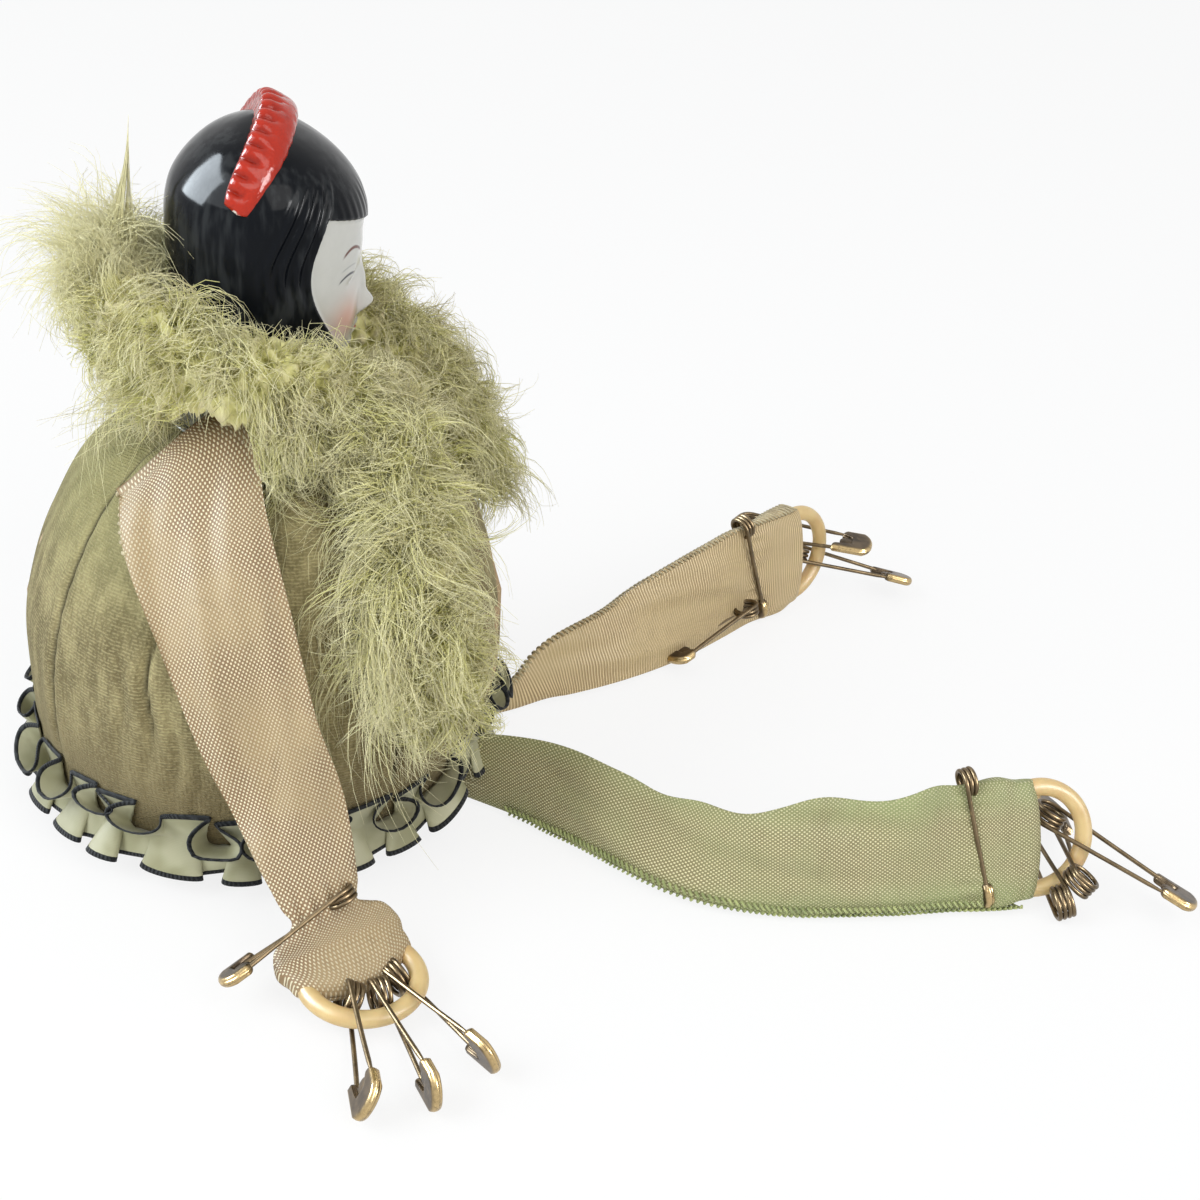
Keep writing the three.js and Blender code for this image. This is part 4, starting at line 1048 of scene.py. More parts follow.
@dataclass
class Ruffle:
    """Black-edged satin ribbon gathered along its middle, both edges turning in loops."""

    cushion: Cushion
    half_width: float = 7.0
    thickness: float = 0.32
    height: float = 11.0
    rise: float = 4.8
    legs: float = 0.5
    waves: int = 24
    bend: float = 2.08
    reach: float = 6.9
    rows: int = 21
    per_wave: int = 40

    def meander(self, phase: Array) -> tuple[Array, Array]:
        """Works out one looping fold.

        The ribbon's edge runs at an angle of bend times the sine of the phase; the sideways and
        outward places are the running sums of that angle's cosine and sine.

        Args:
            phase: Places along the folds, in radians.

        Returns:
            How far each lies off its even place, and how far out, 0 to 1.
        """
        fine = np.linspace(0, TAU, 721)
        angle = self.bend * np.sin(fine)
        step = fine[1]
        along = np.concatenate([[0], np.cumsum(0.5 * (np.cos(angle[1:]) + np.cos(angle[:-1]))) * step])
        out = np.concatenate([[0], np.cumsum(0.5 * (np.sin(angle[1:]) + np.sin(angle[:-1]))) * step])
        mean = along[-1] / TAU
        place = np.mod(phase, TAU)
        sideways = np.interp(place, fine, along - mean * fine) / mean
        return sideways, np.interp(place, fine, out) / out.max()

    def build(self, finish: EdgedSatin) -> Object:
        """Across the ribbon a point goes out by its fold and up by what is left of the half width, and
        never into the cushion.

        Args:
            finish: Its satin.

        Returns:
            The ribbon.
        """
        columns = self.waves * self.per_wave
        s = np.linspace(0, 1, columns, endpoint=False)[None, :]
        v = np.linspace(-1, 1, self.rows)[:, None]
        base_turn = TAU * s
        wander = np.sin(5 * base_turn + 0.4) + 0.9 * np.sin(9 * base_turn + 2.1)
        wander = wander + 0.4 * np.sin(14 * base_turn)
        shifted = np.where(v > 0, 2.1 + 0.8 * np.sin(3 * base_turn), 0)
        phase = self.waves * base_turn + 0.8 * wander + shifted
        sideways, out = self.meander(phase)
        row = np.sign(v)
        size = 0.86 + 0.17 * np.sin(7 * base_turn + 1.1 * row) + 0.12 * np.sin(12 * base_turn + 2.4 * row)
        share = np.abs(v) ** 0.75
        arc = self.cushion.level(np.array(self.height))
        spread = arc / self.waves
        pleat = np.where(v > 0, 1, 0.78) * (0.85 + 0.22 * np.sin(11 * base_turn + v))
        turn = base_turn + share * sideways * spread / arc * pleat
        away = np.abs(np.mod(turn + np.pi, TAU) - np.pi)
        middle = self.height + self.rise * (1 - ease((away - self.legs) / 0.35))
        reach = np.clip(self.reach * size * out * np.where(v > 0, 1, 0.46), 0.1, 6.6)
        rise = np.sqrt(np.maximum(self.half_width**2 - reach**2, 1.5))
        z = middle + v * rise * 0.97 + 0.9 * share * np.sin(phase + 0.8) + 0.4 * share * np.sin(2 * phase)
        z = np.maximum(z, 0.45)
        ball, sag = self.cushion.level, self.cushion.sag
        seat = ball(middle) + sag(turn, middle) + 0.45 + 0.25 * np.cos(2 * phase)
        radius = np.maximum(seat + share * reach, ball(z) + sag(turn, z) + 0.5 + 0.5 * share * out)
        points = self.cushion.shallow(stacked(radius * np.sin(turn), -radius * np.cos(turn), z))
        long = np.roll(points, -1, axis=1) - np.roll(points, 1, axis=1)
        normal = unit(np.cross(long, np.gradient(points, axis=0)))
        half = 0.5 * self.thickness
        grid = np.concatenate([points + half * normal, (points - half * normal)[::-1]], axis=0)
        steps = np.linalg.norm(np.diff(points[0], axis=0, append=points[0, :1]), axis=1)
        run = np.concatenate([[0], np.cumsum(steps)])
        across = np.concatenate([v[:, 0], v[::-1, 0], v[:1, 0]]) * self.half_width
        uv = stacked(across[:, None], run[None, :])
        made = loft(grid, uv, looped=True).build("ruffle", finish.material())
        return made


# The half doll


@dataclass
class HalfDoll:
    """The glazed half doll: bust, head with moulded hair, and a beaded comb across the crown."""

    levels: tuple[tuple[float, float, float, float], ...] = (
        (75, 18, -18, 18), (78, 18, -18, 18), (78.8, 16.6, -16.2, 16.2), (81.5, 15.5, -11.5, 11),
        (84.2, 11.5, -9, 9), (86.2, 8.4, -7.8, 8), (88.2, 7.8, -7.6, 8), (89.2, 8.4, -10, 9.5),
        (89.7, 9.4, -12.8, 11), (91.2, 11.8, -14.6, 12.8), (94, 14.2, -15.6, 14.4),
        (97, 15.6, -16.2, 15.2), (100, 16.5, -16.6, 15.7), (103.5, 17.2, -16.8, 16),
        (107, 17.7, -16.9, 16.2), (110.5, 18, -17.1, 16.3), (113.2, 18.2, -17.2, 16.3),
        (114.4, 18.2, -17.3, 16.3), (118, 18.2, -16.9, 16.1), (122, 17.4, -15.2, 15),
        (125.8, 15.2, -11.9, 12.4), (129.2, 11.2, -7.2, 8.6), (131.4, 6, -2.6, 4.4), (132.5, 0.6, 0.5, 1.1),
    )
    wall: float = 2.6
    hair_relief: float = 0.75
    comb_centre: tuple[float, float, float] = (0, 6.4, 117)
    comb_lean: float = 0.51
    comb_reach: float = 1.32
    comb_top: float = 20.6
    comb_ends: float = 19.4
    comb_inner: float = 13.5
    comb_thickness: float = 7.5
    beads: int = 17

    @staticmethod
    def parting(z: Array) -> Array:
        """Returns the turn from the front where the hair meets the cheek, by height."""
        return 0.62 + 0.44 * np.cos((z - 109) / 9.8)

    def hair(self, turn: Array, z: Array) -> Array:
        """Returns the hair's share, 0 on the face and 1 on the hair, by turn and height."""
        side = np.abs(turn)
        cheek = ease((side - self.parting(z)) / 0.05) * ease((z - 90.5) / 1.2)
        fringe = ease((z - 114.4 - 4.7 * side) / 0.7)
        return np.maximum(cheek, fringe) * (z > 89.8)

    def features(self, turn: Array, z: Array) -> Array:
        """Returns how far the face stands out, as a sum of bell-shaped hills and dips."""
        hills = (
            (0, 99.0, 0.12, 1.7, 2.3), (0, 102.6, 0.10, 3.4, 1.0), (0.11, 98.4, 0.06, 0.9, 0.5),
            (0, 95.3, 0.17, 0.55, 0.55), (0, 93.9, 0.14, 0.55, 0.55), (0, 94.6, 0.22, 0.3, -0.25),
            (0, 96.5, 0.10, 0.8, -0.3), (0, 91.2, 0.26, 1.3, 0.6), (0.34, 105.4, 0.20, 2.0, -0.8),
            (0.44, 106.6, 0.14, 1.0, 0.5), (0.48, 98.0, 0.24, 3.4, 0.5), (0.42, 110.6, 0.3, 1.4, 0.25),
        )
        side = np.abs(turn)
        total = np.zeros(np.broadcast(turn, z).shape)
        for at, height, wide, tall, proud in hills:
            total += proud * np.exp(-(((side - at) / wide) ** 2) - ((z - height) / tall) ** 2)
        return total

    def locks(self, turn: Array, z: Array) -> Array:
        """Returns the relief of the moulded locks.

        The locks are flutes that follow the parting: a wave of the distance from it, deepest at the
        temple, fading to the back and to the crown; finer flutes run down the fringe.
        """
        behind = np.abs(turn) - self.parting(z)
        temple = ease((behind + 0.06) / 0.12) * (1 - ease((behind - 0.36) / 0.26))
        height = (0.25 + 0.75 * ease((z - 103) / 7)) * ease((z - 92) / 5) * (1 - ease((z - 121) / 5))
        flutes = temple * height * 0.46 * np.sin(TAU * behind / 0.145 + 0.25 * np.sin(0.5 * z))
        front = (1 - ease((np.abs(turn) - 0.62) / 0.3)) * ease((z - 114) / 2) * (1 - ease((z - 120) / 3))
        return flutes + front * 0.05 * np.sin(TAU * turn / 0.12)

    def outline(self, z: Array) -> Array:
        """Returns half the width, the front and the back at each height."""
        table = np.array(self.levels)
        return stacked(*(np.interp(z, table[:, 0], table[:, k]) for k in (1, 2, 3)))

    def head(self) -> Skin:
        """Works out the hollow casting as one closed skin, from inside the crown round to its top.

        A level's ring is half the width times the sine of the turn and the front or the back times
        its cosine, grown by the relief; the inner wall is the same ring drawn in by the thickness.
        """
        table = np.array(self.levels)
        t = even(table, 230)
        outside = curve(table, t)
        outside[:, 0] = np.clip(outside[:, 0], 75, 132.6)
        steps = np.linspace(-np.pi, np.pi, 288, endpoint=False)
        turn = (steps - 0.4 * np.sin(steps))[None, :]
        z, half, front, back = (outside[:, k : k + 1] for k in range(4))
        hair = self.hair(turn, z)
        proud = self.features(turn, z) * (1 - hair) + self.hair_relief * hair + hair * self.locks(turn, z)
        proud = proud * ease((z - 88) / 3) * ease((132.3 - z) / 4)
        x = half * np.sin(turn)
        y = -np.where(np.cos(turn) > 0, -front, back) * np.cos(turn)
        grow = 1 + proud / np.hypot(x, y)
        outer = stacked(x * grow, y * grow, z)
        inside = curve(table, even(table, 60))[::-1][4:]
        z, half, front, back = (inside[:, k : k + 1] for k in range(4))
        half, front, back = (np.maximum(side - self.wall, 0.4) for side in (half, -front, back))
        x = half * np.sin(turn)
        y = -np.where(np.cos(turn) > 0, front, back) * np.cos(turn)
        inner = stacked(x, y, np.where(z > 76, z - 0.9, z))
        marks = {"hair": np.concatenate([np.zeros(inner.shape[:2]), hair * np.ones(outer.shape[:2])])}
        return loft(np.concatenate([inner, outer]), marks=marks)

    def comb(self) -> Skin:
        """Works out the comb.

        It is a crescent across the crown from ear to ear: each section runs from the inner radius out
        to a rim whose back edge swells and sinks with the knobs, thinner towards the tips.
        """
        share = np.linspace(-1, 1, 320)[:, None]
        around = circle(40)[None, :]
        bead = np.abs(np.cos(0.5 * np.pi * self.beads * share)) ** 0.7
        knobbed = ease((np.sin(around) - 0.02) / 0.14)
        outer = mix(self.comb_top, self.comb_ends, np.abs(share) ** 3) - 1.0 * (1 - bead) * knobbed
        outer = outer - 0.5 * np.sin(around) ** 2 * (1 - knobbed)
        half = 0.5 * self.comb_thickness * mix(1, 0.6, share**8) * (0.95 + 0.05 * bead)
        middle, reach = 0.5 * (outer + self.comb_inner), 0.5 * (outer - self.comb_inner)
        radial = middle + reach * power(np.cos(around), 0.5)
        rim = ease((radial - outer + 2.4) / 1.2)
        across = half * power(np.sin(around), 0.6) * mix(0.86, 1, rim)
        ends = np.sqrt(np.clip((1 - np.abs(share)) / 0.02, 0, 1))
        across = across * ends
        angle = share * self.comb_reach
        up = np.array([0, -math.sin(self.comb_lean), math.cos(self.comb_lean)])
        through = np.array([0, math.cos(self.comb_lean), math.sin(self.comb_lean)])
        spoke = np.sin(angle)[..., None] * [1, 0, 0] + np.cos(angle)[..., None] * up
        points = np.array(self.comb_centre) + radial[..., None] * spoke + across[..., None] * through
        # The mark hollow, between the beads and away from the rim, darkens the glaze as painted shade.
        hollow = np.maximum((1 - bead) * knobbed, 0.5 * (1 - rim)) * np.ones_like(radial)
        return loft(points, marks={"hollow": hollow})

    def build(self, porcelain: Porcelain, glaze: RedGlaze) -> list[Object]:
        """Builds the head with its bust, and the comb.

        Args:
            porcelain: Finish of the head.
            glaze: Finish of the comb.

        Returns:
            Both pieces.
        """
        return [
            self.head().build("doll_head", porcelain.material()),
            self.comb().build("doll_comb", glaze.material()),
        ]


# Limbs of ribbon, their rings and pins


class PinKind(Enum):
    """Safety pins: length over all, radius of the coil's centre line and length of the cap."""

    CUFF = (28.0, 2.4, 6.6)
    HUNG = (32.0, 2.9, 8.0)
    LONG = (35.0, 2.9, 8.0)


@dataclass
class SafetyPin:
    """A safety pin in its own frame: X from the coil to the cap, Y to the needle, coil about Z."""

    kind: PinKind
    wire: float = 0.44
    sheet: float = 0.45
    gap: float = 0.35
    pitch: float = 0.95
    cap_thickness: float = 1.9

    @property
    def coil(self) -> float:
        """Returns the radius of the coil's centre line."""
        return self.kind.value[1]

    @property
    def end(self) -> float:
        """Returns how far the cap's end is from the coil's middle."""
        return self.kind.value[0] - self.coil - 0.45

    def turns(self, start: float, stop: float, low: float, high: float, count: int) -> Array:
        """Returns points round the coil from one number of turns to another as it climbs."""
        t = np.linspace(0, 1, count)
        angle = -np.pi / 2 - TAU * mix(start, stop, t)
        return stacked(self.coil * np.cos(angle), self.coil * np.sin(angle), mix(low, high, t))

    def leg(self, side: float, low: float, far: float, count: int = 14) -> Array:
        """Returns points of a leg from the coil out to the cap, with a slight bow."""
        t = np.linspace(0.04, 1, count)
        bow = 0.22 * np.sin(np.pi * t)
        return stacked(far * t, side * (self.coil - bow), mix(low, 0, t))

    def swept(self, path: Array, tip: float) -> Skin:
        """Returns a round wire along a path; the tip is the radius at its last point."""
        radius = np.full(len(path), self.wire)
        radius[-4:] = np.linspace(self.wire, tip, 4)
        # A little gold all along the wire: painted glints on the brass.
        wear = 0.12 * np.ones(len(path))
        return tubes(path[None], radius, 10, UP, {"wear": wear[None]})

    def spring(self) -> Skin:
        """Returns the back leg and two turns of the coil."""
        reach = self.end - 2.2
        back = self.leg(-1, -1.6, reach)[::-1]
        return self.swept(np.vstack([back, self.turns(0, 2, -1.6, 0.3, 56)]), self.wire)

    def needle(self) -> Skin:
        """Returns the last turn and a half of the coil and the pointed leg."""
        reach = self.end - 3.4
        coil = np.vstack([self.turns(0, 1, 0.3, 1.25, 30), self.turns(1, 1.5, 1.25, 1.3, 14)[1:]])
        return self.swept(np.vstack([coil, self.leg(1, 1.3, reach)]), 0.12)

    def closed(self) -> Skin:
        """Returns the whole wire of a pin that stays shut."""
        reach = self.end - 2.2
        back = self.leg(-1, -1.15, reach)[::-1]
        coil = self.turns(0, 2.5, -1.15, 1.15, 70)
        return self.swept(np.vstack([back, coil, self.leg(1, 1.15, reach)]), self.wire)

    def cap(self) -> Skin:
        """Works out the folded sheet cap.

        Each row runs across the cap at one place between the back leg and the needle, from the
        bay on its open side to its rounded end, over the upper sheet and back under the lower; the
        rim is rounded, and a dimpled disc stands in the bay.
        """
        back = self.coil + self.wire + self.gap + self.sheet
        side = self.coil + 1.05
        start = self.end - self.kind.value[2]
        y = np.concatenate([[-1], np.cos(np.linspace(np.pi * 0.97, np.pi * 0.03, 54)), [1]])
        y = (mix(-back, side, 0.5 + 0.5 * y))[:, None]
        u = 0.5 - 0.5 * np.cos(np.linspace(0, np.pi, 26))
        sleeve = ease((-1.7 - y) / 0.9)
        lobe = ease((y - 0.9) / 1.3)
        rounding = 1.0 - np.sqrt(np.clip(1 - ((y - side + 1.5) / 1.5).clip(0, 1) ** 2, 0, 1))
        left = start + 3.1 - 4.3 * sleeve - 2.2 * lobe * (1 - rounding)
        across = (y - 0.5 * (side - back)) / (0.5 * (side + back))
        right = self.end - 3.4 * (1 - (1 - np.abs(across) ** 2.2) ** (1 / 2.2))
        over = mix(left, right, u[None, :])
        half = 0.5 * self.cap_thickness
        edge = np.minimum(np.minimum(over - left, right - over), np.minimum(y + back, side - y))
        rim = np.sqrt(np.clip(1 - (1 - np.clip(edge / 0.55, 0, 1)) ** 2, 0.0, 1))
        lift = np.maximum(half * rim * (0.9 + 0.1 * ease(edge)), 0.3)
        top = stacked(over, y, lift)
        low = stacked(over, y, -lift)[:, ::-1]
        outer = np.minimum(right - over, np.minimum(y + back, side - y))
        # Gold round the cap's outer rim: rubbed brass, and a painted highlight.
        wear = bell(outer / 0.5) * 0.95
        wear_and_highlight = {"wear": np.concatenate([wear, wear[:, ::-1]], axis=1)}
        plates = loft(np.concatenate([top, low], axis=1), marks=wear_and_highlight)
        tilt = np.linspace(-np.pi / 2 * 0.96, np.pi / 2 * 0.96, 14)[:, None]
        round_ = circle(28)[None, :]
        out = 1.75 * np.cos(tilt) ** 0.6
        disc = start + 2.2 + out * np.cos(round_), -0.1 + out * np.sin(round_), 0.62 * np.sin(tilt)
        return joined(plates, loft(stacked(*disc)))


@dataclass
class CuffPin:
    """Where a shut pin crosses a cuff: place along the limb, tilt, slide, lift, drop and direction."""

    at: float
    tilt: float
    slide: float
    lift: float
    flip: float
    drop: float = 0.0


@dataclass
class Ring:
    """A ring held in the end of a limb."""

    radius: float = 9.85
    wire: float = 1.65

    def build(self, name: str, centre: Array, normal: Array, finish: Material) -> Object:
        """Builds a ring.

        A point is the centre, plus the ring's radius along its spoke, plus the section's radius
        turned about; the section is a little flattened and swells by a few hundredths round the ring.

        Args:
            name: Name of the piece.
            centre: Its middle, in millimetres.
            normal: The direction across its plane.
            finish: Its material.

        Returns:
            The ring.
        """
        first = unit(np.cross(normal, UP + [0.3, 0.1, 0]))
        second = np.cross(normal, first)
        turn = circle(120)[:, None, None]
        around = circle(28)[None, :, None]
        spoke = first * np.cos(turn) + second * np.sin(turn)
        size = self.wire * (1 + 0.02 * np.sin(3 * turn) + 0.012 * np.sin(7 * turn + 1))
        points = centre + spoke * (self.radius + size * np.cos(around))
        points = points + normal * (0.97 * size * np.sin(around))
        run = np.linspace(0, TAU * self.radius, 121)[:, None]
        girth = np.linspace(0, TAU * self.wire, 29)[None, :]
        uv = stacked(girth, run)
        return loft(points, uv, looped=True).build(name, finish)


@dataclass
class RibbonLimb:
    """A limb of ribbon folded into a flat tube, oversewn along one edge, whose end holds a ring.

    Each station is a point, the way the ribbon's face looks, half its width, its folds and how full
    it is, in millimetres.
    """

    name: str
    stations: tuple[tuple[float, ...], ...]
    cover: float
    seam: int
    weave: RibbonWeave
    thread: Stitching
    slot: str
    cuff_pins: tuple[CuffPin, ...]
    pins: tuple[PinKind, ...]
    over_cushion: bool = False
    bulge: float = 1.4
    shoulder: float = 0.0
    pinch: float = 0.0
    ripple: float = 0.0
    sewn: tuple[tuple[float, ...], ...] = ((0.03, 0.97, 0.35),)
    bends: float = 20.0
    half_thickness: float = 1.3
    ribbon_half: float = 12.3
    cuff_half: float = 2.4 / 0.88
    ball: float = 47.5
    rows: int = 210
    columns: int = 96

    def frame(self, t: Array) -> dict[str, Array]:
        """Works out the limb's frames along it.

        The centre, the look and the sizes are smooth curves through the stations; the look has its
        part along the tangent taken out, and across is the look crossed with the tangent.

        Args:
            t: Places, 0 to 1, evenly from station to station.

        Returns:
            Centres, tangents, looks, acrosses, half widths, folds and fullness by name.
        """
        table = np.array(self.stations)
        at, tangent = curve(table[:, :3], t), slope(table[:, :3], t)
        look = curve(table[:, 3:6], t)
        look = unit(look - dot(look, tangent) * tangent)
        sizes = curve(table[:, 6:9], t)
        return {
            "at": at, "tangent": tangent, "look": look, "across": np.cross(look, tangent),
            "half": sizes[:, 0:1] * (1 - self.pinch * bell((t[:, None] - 0.735) / 0.035)),
            "fold": sizes[:, 1:2], "full": np.clip(sizes[:, 2:3], 0, 1),
        }

    def ride_over(self, t: Array) -> Array:
        """Returns how closely the ribbon bends round the cushion, by place."""
        return (1 - ease((t - 0.4) / 0.25)) if self.over_cushion else np.zeros_like(t)

    def wave(self, t: Array, u: Array, f: dict[str, Array]) -> Array:
        """Returns how far the ribbon's middle stands off its frame: soft folds, less the bend."""
        spans = 3 * (len(self.stations) - 1)
        steps = t[:, None] * spans
        folds = f["fold"] * np.sin(3.1 * u / self.ribbon_half + 0.9 * steps)
        pinched = bell((t[:, None] - self.cuff_pins[0].at) / 0.05)
        soft = 0.55 * np.sin(0.62 * u + 0.35 * steps + 0.8) + 0.3 * np.sin(1.15 * u + 1.3 * steps)
        folds = folds + f["fold"] * soft + 0.45 * pinched * np.sin(2.1 * u + 0.6)
        bend = self.ride_over(t)[:, None] * u**2 / (2 * self.ball)
        return folds * (1 - 0.75 * f["full"]) - bend

    def sleeve(self) -> Skin:
        """Works out the ribbon's two plies as one closed skin.

        A section is a flattened loop: across by half the width times a power of the cosine, out by the
        thickness times a power of the sine, plus the folds. The last rows round the cuff's end over,
        and the end swells out in its middle.
        """
        body = even(np.array(self.stations)[:, :3], self.rows)
        closing = 8
        t = np.concatenate([body, np.ones(closing)])
        f = self.frame(t)
        turn = np.linspace(0, np.pi / 2 * 0.985, closing + 1)[1:]
        shrink = np.concatenate([np.ones(self.rows), np.cos(turn)])[:, None]
        onward = np.concatenate([np.zeros(self.rows), np.sin(turn)])[:, None]
        angle = (TAU * np.arange(self.columns) / self.columns)[None, :]
        full = f["full"]
        thick = mix(self.half_thickness, self.cuff_half, full)
        near_end = ease((t[:, None] - 0.9) / 0.1)
        half = f["half"] * (1 - 0.09 * near_end**2)
        u = half * power(np.cos(angle), mix(0.8, 0.45, full))
        run = run_along(f["at"])
        edge = self.ripple * (0.5 - 0.5 * self.seam * u / half) ** 2 * ease((t[:, None] - 0.3) / 0.15)
        edge = edge * (1 - ease((t[:, None] - 0.72) / 0.1))
        u = u - self.seam * edge * np.sin(TAU * run[:, None] / 24 + 0.6)
        w = thick * shrink * power(np.sin(angle), mix(0.9, 0.45, full))
        lip = np.abs(np.sin(angle)) ** 0.7
        stand = w + self.wave(t, u, f) * lip + edge * np.cos(TAU * run[:, None] / 24)
        swell = self.bulge * near_end * (1 - (u / half) ** 2)
        crimp = 0.12 * np.sin(5.3 * u) * bell((t[:, None] - self.cuff_pins[0].at) / 0.04)
        front = 0.5 * (1 - self.seam * u / f["half"])
        peak = self.shoulder * front**1.4 * (1 - ease(run[:, None] / 17))
        back = 0.9 * thick * ease((run[:, None] - run[-1] + 14) / 14)
        forward = (onward * thick * 0.9 - back + swell + crimp - peak)[..., None]
        points = f["at"][:, None] + u[..., None] * f["across"][:, None]
        points = points + stand[..., None] * f["look"][:, None] + forward * f["tangent"][:, None]
        run = run + onward[:, 0] * thick[:, 0]
        across = np.concatenate([u, u[:, :1]], axis=1)
        uv = stacked(across, run[:, None])
        return loft(points, uv)

    def stitches(self, start: float, stop: float, inset: float, step: float = 1.05) -> Skin:
        """Works out a row of oversewing.

        Each stitch is an arch that leans along the limb as it goes: round the edge, from the face over
        the rim to the back, or for a row set in from the edge, a short arch on the face.

        Args:
            start: Place of the first stitch, 0 to 1 by length.
            stop: Place of the last.
            inset: How far the row stands in from the edge, in millimetres.
            step: Distance from one to the next, in millimetres.

        Returns:
            All the stitches.
        """
        table = np.array(self.stations)[:, :3]
        places = even(table, 600)
        length = run_along(curve(table, places))[-1]
        count = int((stop - start) * length / step)
        t = np.interp(np.linspace(start, stop, count), np.linspace(0, 1, 600), places)
        f = self.frame(t)
        u = self.seam * (f["half"] - inset)
        rng = np.random.default_rng(len(self.name) + count)
        own = 0.9 + 0.2 * rng.random((count, 1))
        on_face = inset > 0.8
        phi = np.linspace(-1, 1, 7) * (1.2 if on_face else 2.2)
        thick = mix(0.5, 0.7 * self.cuff_half, f["full"])
        if on_face:
            out = self.seam * 0.55 * np.sin(phi) * own
            over = thick + 0.75 + 0.22 * np.cos(phi) * own
        else:
            out = self.seam * 0.36 * np.cos(phi) * own
            over = (thick + 0.2) * np.sin(phi) * 1.1
        edge = f["at"] + u * f["across"] + self.wave(t, u, f) * f["look"]
        paths = edge[:, None] + out[..., None] * f["across"][:, None] + over[..., None] * f["look"][:, None]
        paths = paths + (0.45 * step * own * phi / phi[-1])[..., None] * f["tangent"][:, None]
        return tubes(paths, np.full(7, 0.26 * step), 5, f["tangent"][:, None])

    def cuff_place(self, pin: CuffPin) -> Array:
        """Returns the matrix of a cuff pin: X along its way, Y the way the ribbon looks."""
        f = {name: value[0] for name, value in self.frame(np.array([pin.at])).items()}
        way = unit(f["across"] * pin.flip + f["tangent"] * pin.tilt)
        kind = PinKind.CUFF.value
        middle = pin.slide - kind[0] / 2 + kind[1] + 0.45
        origin = f["at"] + f["look"] * pin.lift + f["across"] * pin.drop + way * middle
        return placement(origin, way, f["look"])

    def build(self, joints: Mapping[str, dict], brass: Material, ivory: Material) -> None:
        """Builds the ribbon, its stitches, its cuff pins, its ring and the pins hung on it.

        Args:
            joints: The frame's joints by name.
            brass: Finish of the pins.
            ivory: Finish of the ring.
        """
        ribbon = self.sleeve().build(self.name + "_sleeve", self.weave.material())
        table = np.array(self.stations)[:, :3]
        length = run_along(curve(table, even(table, 400)))[-1]
        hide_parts(self.name + "_ribbon")
        rows = joined(*(self.stitches(*row) for row in self.sewn))
        sewn = rows.build(self.name + "_stitches", self.thread.material())
        root, onward = curve(table, np.interp([0, self.bends / length], [0, 1], [0, 1])) * MM
        for cloth in (ribbon, sewn):
            tuple(root)
            tuple(onward)
            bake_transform(cloth)
        pin = SafetyPin(PinKind.CUFF)
        for number, cuff in enumerate(self.cuff_pins, start=1):
            place = self.cuff_place(cuff)
            label = f"{self.name}_cuff_pin_{number}"
            for skin, piece, node in ((pin.closed(), "_shank", "_wire"), (pin.cap(), "_guard", "_cap")):
                settle(skin.placed(place).build(label + piece, brass), self.name, "brass", label + node)
        spin = joints[self.name + "_ring_spin"]
        centre, normal = np.array(spin["pos_m"]) / MM, unit(np.array(spin["axis"], float))
        ring = Ring().build(self.name + "_hoop", centre, normal, ivory)
        settle(ring, self.name + "_ring", "ivory", self.name + "_ring")
        for number, kind in enumerate(self.pins, start=1):
            label = f"{self.name}_pin_{number}"
            opening, swing = joints[label + "_opening"], joints[label + "_swing"]
            coil = np.array(opening["pos_m"]) / MM
            about = unit(np.array(opening["axis"], float))
            x = unit(np.array(swing["pos_m"]) / MM - coil)
            place = placement(coil, x, np.cross(about, x))
            hung = SafetyPin(kind)
            for skin, piece, body, node in (
                (hung.spring(), "_shank", "", "_spring"),
                (hung.cap(), "_guard", "", "_cap"),
                (hung.needle(), "_point", "_needle", "_needle"),
            ):
                wire = skin.placed(place).build(label + piece, brass)
                settle(wire, label + body, "brass", label + node)
        count = len(self.pins) + len(self.cuff_pins)
        log.info("%s: ribbon %.0f mm long, %d pins", self.name, length, count)


def placement(origin: Array, x: Array, toward: Array) -> Array:
    """Returns the matrix at an origin whose X is given and whose Y is as near to toward as it can be."""
    x = unit(x)
    y = unit(toward - dot(toward, x) * x)
    matrix = np.eye(4)
    matrix[:3, 0], matrix[:3, 1], matrix[:3, 2], matrix[:3, 3] = x, y, np.cross(x, y), origin
    return matrix


def settle(piece: Object, body: str, slot: str, *nodes: str) -> Object:
    """Makes a piece ride on a body and hides the CAD nodes it stands for."""
    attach(piece, body)
    if nodes:
        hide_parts(*nodes)
    return piece


# The boa


@dataclass(frozen=True)
class Wisps:
    """One kind of wisp along the boa, in millimetres and radians.

    A wisp has some barbs of some stations each; its length and its turning lie between two bounds,
    spread is how wide it is at its root and width the radius of a barb there.
    """

    count: int
    each: int
    stations: int
    length: tuple[float, float]
    curl: tuple[float, float]
    spread: float
    width: float


